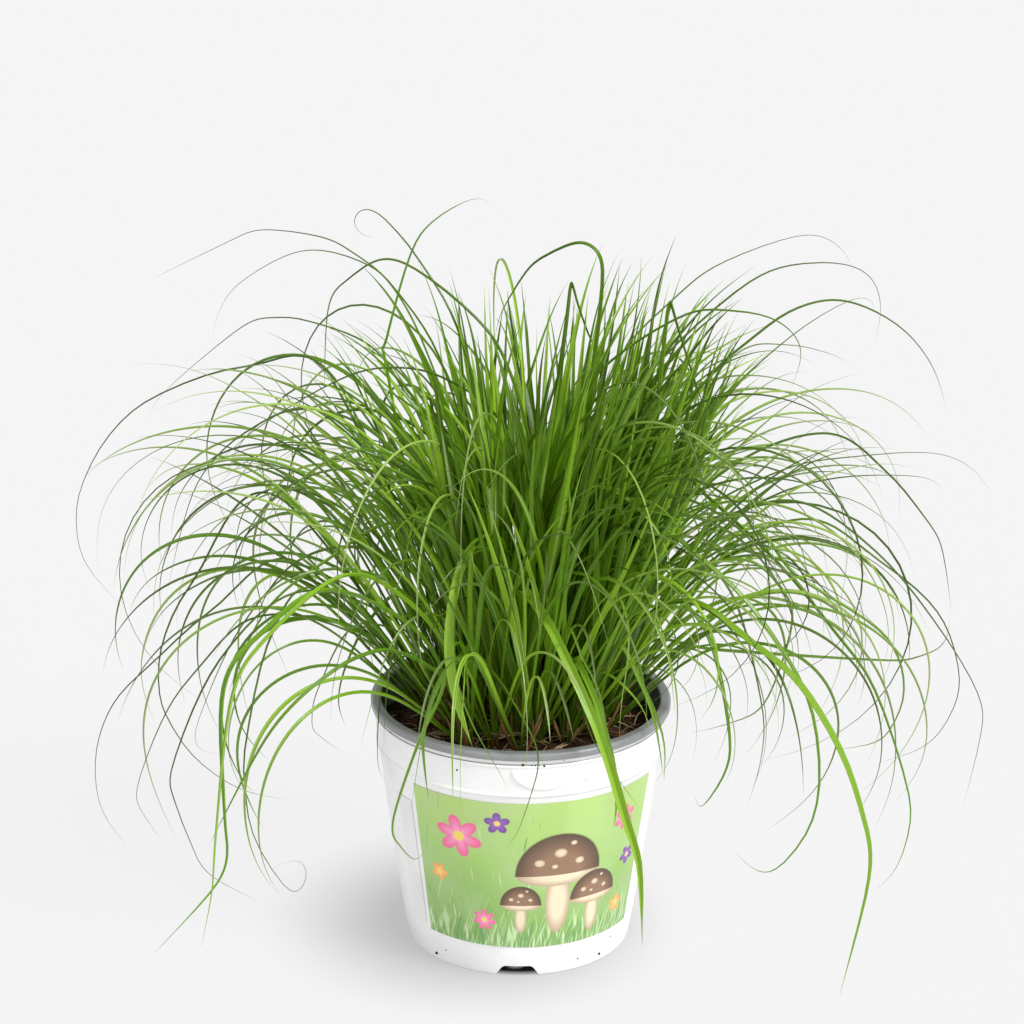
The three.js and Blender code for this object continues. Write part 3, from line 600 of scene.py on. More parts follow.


# %% Listed blades and blades by rule
def either_way(following, degrees):
    """An angle that is drawn from half these degrees to either side."""
    return math.radians((following() - 0.5) * degrees)


def arch_blade(shoot, arch, attempt, following):
    """A blade of the table; each new attempt turns and stretches it a little more."""
    _, heading, width, *points = arch
    heading = math.radians(heading + (following() - 0.5) * HEADING_STEP * attempt)
    stretch = 1 + (following() - 0.5) * STRETCH_STEP * attempt
    reach, height = points[0][:2]
    root = root_of(shoot, heading, reach / (height - shoot["ground"]))
    route = [(out, root[2] + (up - root[2]) * stretch, drift[0] if drift else 0)
             for out, up, *drift in points]
    return {"spine": routed(root, heading, route), "has_tail": False, "width": width,
            "sections": min(MOST_SECTIONS, len(route) + 2),
            "row": arch[:3], "root": root, "heading": heading, "route": route,
            "roll": either_way(following, ARCH_ROLL),
            "twist": either_way(following, ARCH_TWIST)}


def drawn_blade(shoot, following, kinds=KINDS, widths=DRAWN_WIDTH):
    rim = shoot["radius"] / CLUMP_RADIUS
    draw = following()
    kind = next(kind for kind in kinds if draw <= kind[0])
    _, rim_lean, tip_lean, length, bend_end, sections = kind
    wander = math.radians(mix(CENTRE_WANDER, RIM_WANDER, rim))
    heading = shoot["azimuth"] + (following() * 2 - 1) * wander
    turn = either_way(following, TURN_SPREAD)
    slant = mean_slant(shoot) + SLANT_SPREAD * (following() - 0.5) + rim_lean * rim
    lean_from = math.radians(slant)
    lean_to = math.radians(mix(*tip_lean, following()))
    long = mix(*length, following())
    bend_from = mix(*BEND_START, following())
    bend_to = mix(*bend_end, following())
    root = root_of(shoot, heading, math.tan(lean_from))
    shape = (heading, turn, lean_from, lean_to, bend_from, bend_to, long)
    return {"spine": leaning(root, shape), "sections": sections, "has_tail": True,
            "width": mix(*widths, following() ** WIDTH_BIAS),
            "roll": either_way(following, DRAWN_ROLL),
            "twist": either_way(following, DRAWN_TWIST)}


# %% [markdown]
# The next cell repeats the CAD model's tests: a blade is tried again and again until it keeps
# clear of the pot and of the blades that stand already. The spots that are taken are kept in
# a dictionary of small cubes, so each test only looks at the spots near by.

# %% Tests of clearance
SKIN = 0.1


def spots_of(blade):
    """Spots along a blade: each its place, half the blade's width, and the way from its root."""
    sections = blade["sections"]
    knots = blade["spine"](sections * STEPS_PER_SECTION)[::STEPS_PER_SECTION, :3]
    lengths = np.sqrt(((knots[1:] - knots[:-1]) ** 2).sum(axis=1))
    counts = np.ceil(lengths / SAMPLE_STEP).astype(int)
    section = np.repeat(np.arange(sections), counts)
    first = np.repeat(np.cumsum(counts) - counts, counts)
    share = (np.arange(len(section)) - first) / counts[section]
    places = mix(knots[section], knots[section + 1], share[:, None])
    half = blade["width"] * width_shares((section + share) / sections) / 2 + SKIN
    from_root = np.sqrt(((places - knots[0]) ** 2).sum(axis=1))
    return np.column_stack((places, half, from_root))


cells = {}
NEAR_CELLS = [(dx, dy, dz) for dx in (-1, 0, 1) for dy in (-1, 0, 1) for dz in (-1, 0, 1)]


def take(spots, index):
    for x, y, z, half, _ in spots.tolist():
        column, row, layer = math.floor(x / CELL), math.floor(y / CELL), math.floor(z / CELL)
        for dx, dy, dz in NEAR_CELLS:
            key = (column + dx, row + dy, layer + dz)
            cells.setdefault(key, []).append((x, y, z, half, index))


def is_clear_of_blades(spots, index):
    for x, y, z, half, from_root in spots.tolist():
        key = (math.floor(x / CELL), math.floor(y / CELL), math.floor(z / CELL))
        for ox, oy, oz, other_half, other in cells.get(key, ()):
            wanted = half + other_half + (OWN_CLEARANCE if other == index else CLEARANCE)
            if (x - ox) ** 2 + (y - oy) ** 2 + (z - oz) ** 2 < wanted * wanted:
                if other != index or from_root >= ROOT_LENGTH:
                    return False
    return True


def is_clear_of_pot(spots):
    x, y, z, half = spots[:, :4].T
    radius = np.hypot(x, y)
    share = radius / (LIP_RADIUS - LIP_WIDTH)
    soil_low = SOIL_EDGE_HEIGHT + SOIL_MOUND * (1 - share * share) + OVER_SOIL
    is_over_soil = radius < LIP_RADIUS - LIP_WIDTH - INSIDE_LIP
    low = np.where(is_over_soil, soil_low, POT_HEIGHT + OVER_LIP + half)
    return bool(np.all((radius > LIP_RADIUS + OUTSIDE_LIP + half) | (z > low)))


def hides_pot(x, y, z):
    is_in_front = (y < 0) & (np.abs(x) < POT_FRONT_HALF) & (np.hypot(x, y) > LIP_RADIUS)
    return is_in_front & (z < POT_HEIGHT - LIP_DROP)


def is_in_outline(spots):
    x, y, z = spots[:, :3].T
    reach = (x / OUTLINE_REACH_X) ** 2 + (y / OUTLINE_REACH_Y) ** 2
    is_in_dome = (reach < 1) & (z < OUTLINE_TOP - OUTLINE_FALL * reach)
    return bool(np.all(is_in_dome & ~hides_pot(x, y, z) & (z > OUTLINE_LOW)))


print("cells round each spot:", len(NEAR_CELLS))


# %% Plant the CAD model's blades again
planted = [[] for _ in shoots]
for shoot in shoots:
    rises = np.arange(0, STUB_RISE + 0.1, SAMPLE_STEP)
    stub = [(shoot["x"], shoot["y"], shoot["ground"] + rise, STUB_RADIUS, 0) for rise in rises]
    take(np.array(stub), shoot["index"])


def settle(shoot, make_blade, is_allowed):
    """Plants the first blade that is allowed and clear, if one of the tries is."""
    for attempt in range(BLADE_TRIES):
        blade = make_blade(attempt)
        spots = spots_of(blade)
        if is_allowed(spots) and is_clear_of_pot(spots):
            if is_clear_of_blades(spots, shoot["index"]):
                take(spots, shoot["index"])
                planted[shoot["index"]].append(blade)
                return


for order, arch in enumerate(ARCHES):
    shoot = shoots[arch[0]]
    first_seed = ARCH_SEED + order * SEED_STEP
    settle(shoot, lambda attempt: arch_blade(
        shoot, arch, attempt, draws(first_seed + attempt * TRY_STEP)), lambda spots: True)
for turn_of in range(BLADES_PER_SHOOT):
    waiting = [shoot for shoot in shoots if len(planted[shoot["index"]]) < BLADES_PER_SHOOT]
    for shoot in waiting:
        first_seed = DRAWN_SEED + (turn_of * SHOOT_COUNT + shoot["index"]) * SEED_STEP
        settle(shoot, lambda attempt: drawn_blade(
            shoot, draws(first_seed + attempt * TRY_STEP)), is_in_outline)
print("blades:", sum(len(blades) for blades in planted))

# %% [markdown]
# Between the main blades stand many more, drawn by the same rule from other seeds. Four
# families fill the clump: many upright and broad blades, a few thin threads that arch over,
# and a few thin low blades. The first two keep inside a crown, narrow over the pot and widest
# at three quarters of the height, because the real clump is dense there and open outside.
# They leave the soil round a heart that stands a little east of the pot's axis, where the real
# clump is thickest, so that the peat shows at the pot's west side.

# %% The blades between
HEART_EAST = 9
FILL_TRIES = 16
UPRIGHT_KINDS = [(1, -10, (5, 70), (150, 212), (0.9, 1.2), 4)]
BROAD_KINDS = [(1, 0, (20, 150), (120, 225), (1, 1.3), 5)]
THREAD_KINDS = [(1, 0, (130, 260), (150, 300), (1, 1.3), 6)]
LOW_KINDS = [(1, 18, (130, 240), (70, 190), (0.9, 1.2), 5)]
# Each family: name, blades per shoot, first seed, kinds, widths, reach from the heart
FAMILIES = [
    ("upright", 7, 500001, UPRIGHT_KINDS, (2.2, 4.8), 27),
    ("broad", 12, 900001, BROAD_KINDS, (1.6, 4.2), 30),
    ("thread", 2, 1900001, THREAD_KINDS, (0.5, 1.0), 36),
    ("low", 1, 2900001, LOW_KINDS, (0.45, 1.0), 28),
]
WIDE_FAMILIES = ("upright", "broad")
MOST_SWAY = {"upright": 1.5, "broad": 2.5, "thread": 9.0, "low": 5.0}
CROWN_HEIGHTS = (85, 120, 150, 190, 225, 250, 272)
CROWN_RADII = (48, 55, 64, 82, 86, 80, 68)
CROWN_SHIFT = 6


def is_in_crown(spots):
    x, y, z = spots[:, :3].T
    radius = np.hypot(x - CROWN_SHIFT * z / OUTLINE_TOP, y)
    is_near = bool(np.all(radius < np.interp(z, CROWN_HEIGHTS, CROWN_RADII)))
    return is_near and is_in_outline(spots)


extra = [[] for _ in shoots]
for family, each, family_seed, kinds, widths, reach in FAMILIES:
    fits = is_in_crown if family in WIDE_FAMILIES else is_in_outline
    for turn_of in range(each):
        for shoot in shoots:
            if math.dist((shoot["x"], shoot["y"]), (HEART_EAST, 0)) > reach:
                continue
            first_seed = family_seed + (turn_of * SHOOT_COUNT + shoot["index"]) * SEED_STEP
            for attempt in range(FILL_TRIES):
                following = draws(first_seed + attempt * TRY_STEP)
                blade = drawn_blade(shoot, following, kinds, widths)
                spots = spots_of(blade)
                if fits(spots) and is_clear_of_pot(spots):
                    extra[shoot["index"]].append((family, blade))
                    break
print("blades between:", sum(len(blades) for blades in extra))

# %% [markdown]
# ## The skin of a blade
#
# A sedge blade is fresh green with fine veins along it. Two of its marks are painted light: a
# paler line down its fold is a painted highlight, and in stretches a pale sheen on one side of
# the fold is a painted reflection, the light that this half of the folded blade reflects. No
# two blades have quite the same tone, so each carries a number, its tone, in a mesh attribute.
# The shades are worked out once in a node group, and the green blades, the dry sheaths and the
# straw each use it with their own colours. Light also shines through the thin blade, so a
# Translucent shader is mixed with the Principled one.

# %% Node group for the skin of a blade
SHADES = ("Dark", "Middle", "Light", "Root", "Foot", "Tip", "Pale", "Bloom")

blade_skin, skin_in, skin_out = new_group(
    "blade_skin", [(shade, COLOUR, (0.5, 0.5, 0.5, 1)) for shade in SHADES],
    [("Color", COLOUR), ("Height", NUMBER)])
tree, shades = blade_skin, skin_in.outputs
tone, slimness = attribute(tree, "tone"), attribute(tree, "slimness")
across, along, _ = split(tree, uv_place(tree))
grain = joined(tree, times(tree, across, 7.0), times(tree, along, 3.0), times(tree, tone, 91.0))
streaks = mottle(tree, grain, 1.6, 3.0, 0.6)
fold = reckon(tree, "ABSOLUTE", reckon(tree, "SUBTRACT", across, 0.5))
one_side = times(tree, remap(tree, across, 0.5, 0.56, smooth=True),
                 remap(tree, across, 0.66, 0.82, 1.0, 0.0, smooth=True))
# Painted sheen: a pale stripe on one side of the fold, in stretches, stands for the light that
# this half of the fold reflects.
stretches = mottle(tree, stretched(tree, grain, (0.01, 0.9, 1.3)), 1.0, 1.0)
painted_sheen = remap(tree, stretches, 0.52, 0.62, 0.0, 0.85, smooth=True)
lower = blend_colours(tree, remap(tree, tone, 0.0, 0.5), shades["Dark"], shades["Middle"])
green = blend_colours(tree, remap(tree, tone, 0.5, 1.0), lower, shades["Light"])
# The second mask paints a highlight, a paler line down the fold; the third lays the painted sheen
# on one side of it.
for mask, shade in [(remap(tree, streaks, 0.35, 0.7, 0.0, 0.45), "Light"),
                    (remap(tree, fold, 0.03, 0.1, 0.35, 0.0, smooth=True), "Light"),
                    (times(tree, one_side, painted_sheen), "Bloom"),
                    (remap(tree, along, 0.05, 0.24, 0.9, 0.0, smooth=True), "Root"),
                    (remap(tree, along, 0.01, 0.06, 0.9, 0.0, smooth=True), "Foot")]:
    green = blend_colours(tree, mask, green, shades[shade])
faded = times(tree, remap(tree, along, 0.25, 0.85, smooth=True),
              remap(tree, slimness, 0.0, 1.0, 0.15, 0.95))
tip = blend_colours(tree, remap(tree, tone, 0.3, 0.8), shades["Tip"], shades["Pale"])
feed(tree, skin_out.inputs["Color"], blend_colours(tree, faded, green, tip))
feed(tree, skin_out.inputs["Height"], reckon(tree, "SINE", times(tree, across, 75.0)))
print("skin group nodes:", len(blade_skin.nodes))

# %% Green and dry blade finishes
SHINE, VEIN_STRENGTH, VEIN_DEPTH = 0.3, 0.25, 0.00004
SHONE_THROUGH = (1.9, 1.65, 0.35)


def blade_finish(name, roughness, shine_through, **shades):
    finish, tree, shader = new_finish(name, roughness, SHINE)
    skin = use_group(tree, blade_skin, **shades)
    feed(tree, shader.inputs["Base Color"], skin.outputs["Color"])
    bump(tree, shader, skin.outputs["Height"], VEIN_STRENGTH, VEIN_DEPTH)
    glow = tree.nodes.new("ShaderNodeBsdfTranslucent")
    warm = blend_colours(tree, 1.0, skin.outputs["Color"], SHONE_THROUGH, "MULTIPLY")
    feed(tree, glow.inputs["Color"], warm)
    both = fill(tree, tree.nodes.new("ShaderNodeMixShader"),
                (shine_through, shader.outputs[0], glow.outputs[0]))
    tree.links.new(both.outputs[0], tree.nodes["Material Output"].inputs["Surface"])
    return finish


sedge_green = blade_finish("sedge_green", 0.23, 0.34, Dark=(0.02, 0.075, 0.002),
                           Middle=(0.1, 0.262, 0.002), Light=(0.33, 0.54, 0.025),
                           Root=(0.075, 0.145, 0.008), Foot=(0.1, 0.035, 0.012),
                           Tip=(0.075, 0.105, 0.035), Pale=(0.36, 0.43, 0.22),
                           Bloom=(0.44, 0.6, 0.24))
sedge_straw = blade_finish("sedge_straw", 0.6, 0.15, Dark=(0.1, 0.045, 0.015),
                           Middle=(0.23, 0.14, 0.06), Light=(0.47, 0.36, 0.19),
                           Root=(0.1, 0.04, 0.015), Foot=(0.1, 0.04, 0.02),
                           Tip=(0.34, 0.26, 0.13), Pale=(0.3, 0.36, 0.2),
                           Bloom=(0.42, 0.33, 0.18))
sheath_skin = blade_finish("sheath_skin", 0.5, 0.15, Dark=(0.09, 0.028, 0.01),
                           Middle=(0.2, 0.08, 0.028), Light=(0.4, 0.23, 0.09),
                           Root=(0.1, 0.03, 0.012), Foot=(0.06, 0.02, 0.01),
                           Tip=(0.32, 0.26, 0.08), Pale=(0.3, 0.36, 0.2),
                           Bloom=(0.3, 0.16, 0.07))
print("blade finishes:", sedge_green.name, sedge_straw.name, sheath_skin.name)

# %% [markdown]
# ## One straight blade, bent many times
#
# A blade is a long narrow strip with a fold down its middle. It could be drawn as a curve with
# a bevel, but then it could not be folded or tapered freely. So one straight strip is modelled
# with operators: a grid, given thickness, with its far end merged to a point. Copies of it are
# then bent along the spines, and only the places of their points change.

# %% Straight strip
SHEET = 0.1


def straight_blade(name, rows, folds):
    """A strip from -1 to 1 both ways, its mesh and, for each point, where it is in the blade."""
    form = bmesh.new()
    form.loops.layers.uv.new("UVMap")
    bmesh.ops.create_grid(form, x_segments=folds, y_segments=rows, size=1, calc_uvs=True)
    bmesh.ops.solidify(form, geom=form.faces[:], thickness=SHEET)
    tip = [vert for vert in form.verts if vert.co.y > 1 - 1e-4]
    bmesh.ops.pointmerge(form, verts=tip, merge_co=(0, 1, tip[0].co.z))
    face_outward(form)
    for face in form.faces:
        face.smooth = True
    for edge in form.edges:
        a, b = (vert.co for vert in edge.verts)
        runs_along = abs(a.x - b.x) < 1e-4 and abs(a.y - b.y) > 1e-4
        if runs_along and (abs(a.x) > 0.99 or abs(a.x) < 0.01):
            edge.smooth = False
    mesh = mesh_of(name, form)
    upper = max(vert.co.z for vert in mesh.vertices)
    points = np.array([(v.co.x, (v.co.y + 1) / 2, float(v.co.z < upper - SHEET / 2))
                       for v in mesh.vertices])
    return {"mesh": mesh, "points": points, "rows": rows}


wide_strip = straight_blade("wide_strip", 44, 4)
thin_strip = straight_blade("thin_strip", 30, 2)
print("strips:", len(wide_strip["mesh"].polygons), len(thin_strip["mesh"].polygons), "faces")


# %% Bend a strip along a blade's spine
BURIED, THICKNESS, FOLD = 5.0, 0.42, 0.4
FINE_AT_ROOT, FULL_UNTIL, FINE_LOSS, TAPER_END, TIP_RUN = 0.55, 0.55, 0.9, 1.05, 0.08
SMOOTHING_ROUNDS, ROUTE_ROUNDS = 60, 10
ROUGH_STEPS, LINE_FINENESS, FINE_ROUTE_STEPS = 20, 4, 24


def rows_by_bend(line, steps):
    """Picks steps + 1 rows of a line, closer together where it bends; also their shares."""
    ways = np.diff(line[:, :3], axis=0)
    lengths = np.linalg.norm(ways, axis=1)
    ways /= lengths[:, None]
    turns = np.append(0, np.linalg.norm(np.diff(ways, axis=0), axis=1)) + 1e-6
    weights = np.append(0, np.cumsum(lengths / lengths.sum() + turns / turns.sum()))
    places = np.interp(np.linspace(0, weights[-1], steps + 1), weights, np.arange(len(line)))
    rows = [np.interp(places, np.arange(len(line)), line[:, axis]) for axis in range(4)]
    return np.column_stack(rows), places / (len(line) - 1)


def smooth_line(blade, steps):
    """The blade's spine with its kinks smoothed away, its sway and its tail, as rows."""
    line = blade["spine"](LINE_FINENESS * steps, FINE_ROUTE_STEPS, blade.get("tail", 0.0))
    for _ in range(ROUTE_ROUNDS if "route" in blade else SMOOTHING_ROUNDS):
        line[1:-1] = (line[:-2] + 2 * line[1:-1] + line[2:]) / 4
    along = np.linspace(0, 1, len(line))
    size, turns, phase = blade.get("sway", (0.0, 1.0, 0.0))
    sway = size * along ** 2 * np.sin(2 * math.pi * (turns * along + phase))
    line[:, 0] -= sway * np.sin(line[:, 3])
    line[:, 1] += sway * np.cos(line[:, 3])
    return rows_by_bend(line, steps)


def bent_points(strip, blade):
    """Where the strip's points lie once it is laid along the blade's spine."""
    rows = strip["rows"]
    line, shares = smooth_line(blade, rows - 2)
    down = line[0, :3] - (0, 0, blade.get("buried", BURIED))
    places = np.vstack((down, (down + line[0, :3]) / 2, line[:, :3]))
    headings = np.concatenate(([line[0, 3]] * 2, line[:, 3]))
    along = np.concatenate(([0, 0], shares * (1 + blade.get("tail", 0.0))))
    left = (along[-1] - along) / TIP_RUN
    tangent = np.gradient(places, axis=0)
    tangent /= np.linalg.norm(tangent, axis=1)[:, None]
    side = np.column_stack((-np.sin(headings), np.cos(headings), np.zeros(rows + 1)))
    side -= tangent * (side * tangent).sum(axis=1)[:, None]
    side /= np.linalg.norm(side, axis=1)[:, None]
    turn = (blade["roll"] + blade["twist"] * along)[:, None]
    side = side * np.cos(turn) + np.cross(tangent, side) * np.sin(turn)
    keel = np.cross(side, tangent)
    full = blade.get("full", FULL_UNTIL)
    fine = width_shares(along, FINE_AT_ROOT, FINE_LOSS, full, TAPER_END - full)
    wide = blade["width"] * fine * np.minimum(1, left + 0.05)
    thick = np.minimum(blade.get("thick", THICKNESS), 0.6 * wide + 0.02)
    fold_depth = blade.get("fold", FOLD) * wide
    across, row, under = strip["points"].T
    row = np.rint(row * rows).astype(int)
    out = (across * wide[row] / 2)[:, None] * side[row]
    sink = (fold_depth[row] * (1 - np.abs(across)) + under * thick[row])[:, None] * keel[row]
    return places[row] + out + sink


def reach_of(blade):
    line = blade["spine"](20)
    return np.hypot(line[:, 0], line[:, 1]).max()


def slimness_of(blade):
    """From 0 for a wide or short blade to 1 for a slim one that reaches far out."""
    is_slim = np.interp(blade["width"], (0.9, 2.3), (1, 0))
    return float(is_slim * np.interp(reach_of(blade), (65, 110), (0, 1)))


def grow(name, blades, finishes):
    """One piece with all these blades: each is (strip, blade, tone, finish number)."""
    form = bmesh.new()
    for strip, _, _, finish in blades:
        first = len(form.faces)
        form.from_mesh(strip["mesh"])
        if finish:
            form.faces.ensure_lookup_table()
            for face in form.faces[first:]:
                face.material_index = finish
    mesh = mesh_of(name, form)
    places = np.vstack([bent_points(strip, blade) for strip, blade, _, _ in blades])
    mesh.vertices.foreach_set("co", (places * MM).astype(np.float32).ravel())
    for label, number_of in [("tone", lambda blade, tone: tone),
                             ("slimness", lambda blade, tone: slimness_of(blade))]:
        values = [np.full(len(strip["points"]), number_of(blade, tone))
                  for strip, blade, tone, _ in blades]
        layer = mesh.attributes.new(label, "FLOAT", "POINT")
        layer.data.foreach_set("value", np.concatenate(values).astype(np.float32))
    for finish in finishes:
        mesh.materials.append(finish)
    mesh.update()
    return in_scene(name, mesh)


print("rows of points in a wide blade:", wide_strip["rows"] + 1)

# %% [markdown]
# Each shoot of the CAD model is replaced by one piece: its main blades, its thin blades, and a
# few dry sheaths at its foot. The piece stands in the same hole, so it rides on the same body.

# %% Grow the shoots
SHOOT_SEED, SHEATHS, SHEATH_RING = 77003, 5, 2.4
NEAR_REACH, FAR_REACH, FAR_WIDTH = 70, 125, 0.6
MIDDLE_TOP, HIGH_TOP, HIGH_WIDTH = 235, 275, 0.6
TAIL_SHARES, BOX_MARGIN, MAIN_SWAY, DARKEST_TONE = (0.02, 0.1), 1, 3.0, 0.15
FRONT_WIDTH, FRONT_TAIL, FRONT_SWAY, FRONT_RISE = 0.45, -0.22, 9, 10


def slim(blade):
    """Blades that reach far out or high up are slimmer than their CAD solids, as real ones."""
    top = blade["spine"](ROUGH_STEPS)[:, 2].max()
    blade["width"] *= np.interp(reach_of(blade), (NEAR_REACH, FAR_REACH), (1, FAR_WIDTH))
    blade["width"] *= np.interp(top, (MIDDLE_TOP, HIGH_TOP), (1, HIGH_WIDTH))


def give_tail(blade, wanted):
    """A blade runs on past its end, unless it would leave the CAD box or hide the pot."""
    low, high = (np.array(corner) / MM for corner in cad_box)
    line = blade["spine"](2 * ROUGH_STEPS, tail=wanted)[:, :3]
    stays_in = np.all(line > low + BOX_MARGIN) and np.all(line < high - BOX_MARGIN)
    blade["tail"] = wanted if stays_in and not np.any(hides_pot(*line.T)) else 0.0


def give_sway(blade, most, following):
    """A blade wavers to both sides along its length, more and more toward its end."""
    blade["sway"] = (most * following(), mix(0.5, 1.6, following()), following())


def sheath_blade(shoot, following):
    """A short dry leaf at the foot of a shoot, turned with its back outward."""
    heading = following() * 2 * math.pi
    lean = math.radians(mean_slant(shoot) * 0.7 + 10 * following())
    root = (shoot["x"] + SHEATH_RING * math.cos(heading),
            shoot["y"] + SHEATH_RING * math.sin(heading), shoot["ground"] + 1)
    length = mix(8, 24, following() ** 2)
    bend = lean + math.radians(mix(-15, 35, following()))
    shape = (heading, 0.3, lean, bend, 0.3, 1, length)
    return {"spine": leaning(root, shape), "width": mix(0.6, 1.5, following()),
            "roll": math.radians(180 + 30 * following()), "twist": 0.4, "fold": 0.35}


# Looks of the main blades, by shoot, heading and width in the table of arches: the share of
# that width, where the taper starts, and the tone. The tone is partly the blade's own green and
# partly painted light: blades that face the light, such as the broad one in front at the left,
# are given a light tone.
HAND_LOOKS = {
    (28, 270, 3.8): (1.0, 0.85, 0.95), (15, 270, 3.4): (0.5, 0.3, 0.5),
    (23, 270, 3.7): (1.0, 0.7, 0.8), (18, 270, 3.2): (0.8, 0.6, 0.7),
    (20, 270, 2.4): (1.0, 0.5, 0.55), (10, 300, 2.6): (0.75, 0.5, 0.8),
    (41, 235, 1.6): (0.35, 0.3, 0.9), (31, 270, 1.9): (0.5, 0.3, 0.6),
    (5, -22, 3.4): (0.8, 0.4, 0.6), (39, -35, 3.2): (0.85, 0.5, 0.75),
    (21, -8, 3): (0.7, 0.4, 0.5), (34, -4, 2.8): (0.7, 0.4, 0.6),
    (42, -6, 2.6): (0.65, 0.4, 0.5), (29, 5, 2.4): (0.6, 0.4, 0.3),
    (8, -6, 2.8): (0.55, 0.4, 0.3), (0, -20, 2.2): (0.75, 0.4, 0.4),
    (41, 217, 3): (0.85, 0.45, 0.55), (41, 226, 2.4): (0.9, 0.45, 0.75),
    (28, 222, 2.4): (0.85, 0.45, 0.45), (33, 196, 2.6): (0.85, 0.5, 0.6),
    (38, 196, 2.2): (0.8, 0.4, 0.4), (17, 170, 1.7): (0.55, 0.3, 0.05),
    (3, 165, 2.1): (0.8, 0.35, 0.1), (3, 150, 2.1): (0.7, 0.4, 0.15),
    (30, 20, 1.7): (1.05, 0.5, 0.35), (7, 190, 1.9): (0.7, 0.35, 0.15),
    (16, 158, 2.6): (0.95, 0.5, 0.2), (11, 10, 2.8): (1.15, 0.5, 0.12),
    (5, -8, 2.6): (1.15, 0.5, 0.1), (34, -25, 2.4): (0.95, 0.5, 0.6),
    (28, 238, 1.4): (1.1, 0.45, 0.55), (39, 270, 1.5): (1.15, 0.5, 0.65),
    (39, -14, 1.5): (1.0, 0.45, 0.6),
}
# Fine ends that a solid of the CAD model could not hold: how many of its points the blade
# keeps, and the points that follow them.
FINE_ENDS = {
    (3, 150, 2.1): (3, [(56, 272, 0), (65, 280.5, 0), (72, 286, 0), (77, 288, 0), (81, 288, 0),
                        (84, 286, 0), (86, 282.5, 0), (85, 279, 0), (81, 276.5, 0),
                        (75, 276.5, 0)]),
    (16, 158, 2.6): (6, [(18.5, 271, 0), (27, 257, 0), (30.5, 249, 0), (32, 240, 0)]),
    (23, 270, 1.4): (7, [(38, 71, -7), (36, 64, -11)]),
}
# More thin blades at the front, with the same kind of row as the arches.
FINE_ARCHES = [
    (34, 270, 1.2, (17, 125, 9), (27, 118, 14), (35, 109, 19), (39, 98, 22), (40, 84, 22)),
    (23, 270, 1.1, (-9, 160, 14), (-1, 168, 21), (13, 163, 29), (25, 153, 34), (31, 139, 34),
     (35, 127, 32), (39, 109, 31)),
    (34, 270, 1.0, (9, 151, 4), (17, 161, 10), (27, 151, 17), (35, 143, 21), (41, 129, 24),
     (44, 113, 26)),
    (30, 200, 1.4, (6, 164, 23), (11, 195, 28), (17, 201, 31), (23, 192, 35), (27, 181, 37),
     (33, 164, 42), (38, 152, 43)),
    (30, 200, 0.8, (12, 148, 24), (20, 172, 27), (24, 173, 30), (24, 164, 34), (20, 150, 40),
     (19, 139, 42), (22, 134, 42)),
]


def refine(blade, following):
    """Gives a blade of the table its own look, and hands back its tone."""
    share, full, tone = HAND_LOOKS.get(blade["row"], (0.65, 0.35, 0.5 * following()))
    blade["width"] *= share
    blade["full"] = full
    if blade["row"] in FINE_ENDS:
        kept, points = FINE_ENDS[blade["row"]]
        blade["spine"] = routed(blade["root"], blade["heading"], blade["route"][:kept] + points)
    return tone


def hangs_in_front(blade):
    x, y, z = blade["spine"](ROUGH_STEPS)[-1, :3]
    return y < 0 and abs(x) < POT_FRONT_HALF and z < POT_HEIGHT + FRONT_RISE


def dress(blade, following):
    """Gives a main blade its width, tail and sway, and hands back its tone."""
    wanted, tone = mix(*TAIL_SHARES, following()), following()
    if not blade["has_tail"]:
        return refine(blade, following)
    if hangs_in_front(blade):
        blade["width"] *= FRONT_WIDTH
        blade["tail"] = FRONT_TAIL
        blade["sway"] = (mix(-FRONT_SWAY, FRONT_SWAY, following()),
                         mix(0.25, 0.5, following()), 0.0)
        return tone
    give_tail(blade, wanted)
    slim(blade)
    give_sway(blade, MAIN_SWAY, following)
    return mix(DARKEST_TONE, 1.0, tone)


face_count = 0
for shoot in shoots:
    index = shoot["index"]
    following = draws(SHOOT_SEED + index * SEED_STEP)
    blades = []
    for blade in planted[index]:
        tone = dress(blade, following)
        blades.append((wide_strip, blade, tone, 0))
    for row in FINE_ARCHES:
        if row[0] == index:
            blade = arch_blade(shoot, row, 0, following)
            blades.append((thin_strip, blade, mix(0.6, 1, following()), 0))
    for family, blade in extra[index]:
        give_tail(blade, mix(*TAIL_SHARES, following()))
        give_sway(blade, MOST_SWAY[family], following)
        strip = wide_strip if family in WIDE_FAMILIES else thin_strip
        blades.append((strip, blade, following(), 0))
    blades += [(thin_strip, sheath_blade(shoot, following), following(), 1)
               for _ in range(SHEATHS)]
    name = f"shoot_{index + 1:02d}"
    piece = grow(name + "_blades", blades, [sedge_green, sheath_skin])
    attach(piece, "root")
    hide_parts(name)
    face_count += len(piece.data.polygons)
print("faces of all blades:", face_count)

# %% [markdown]
# ## The pot
#
# The pot is thin plastic, formed over a mould: a tapered wall, two ridges, a collar and a
# rolled lip. Such a round thing is one profile, turned about the axis. The lathe of bmesh is
# spin: it carries an edge chain round in steps. The foot's notches and the drain holes are cut
# afterwards with a Boolean modifier, because they don't follow the turn.


# %% Profile of the pot
def wall_radius(height):
    share = height / (LOWER_RIDGE_HEIGHT - RIDGE_HALF_HEIGHT)
    return mix(WALL_FOOT_RADIUS, WALL_TOP_RADIUS, share)


def collar_radius(height):
    share = (height - LOWER_RIDGE_HEIGHT) / (UPPER_RIDGE_HEIGHT - LOWER_RIDGE_HEIGHT)
    return mix(WALL_TOP_RADIUS + 0.3, COLLAR_RADIUS, share)


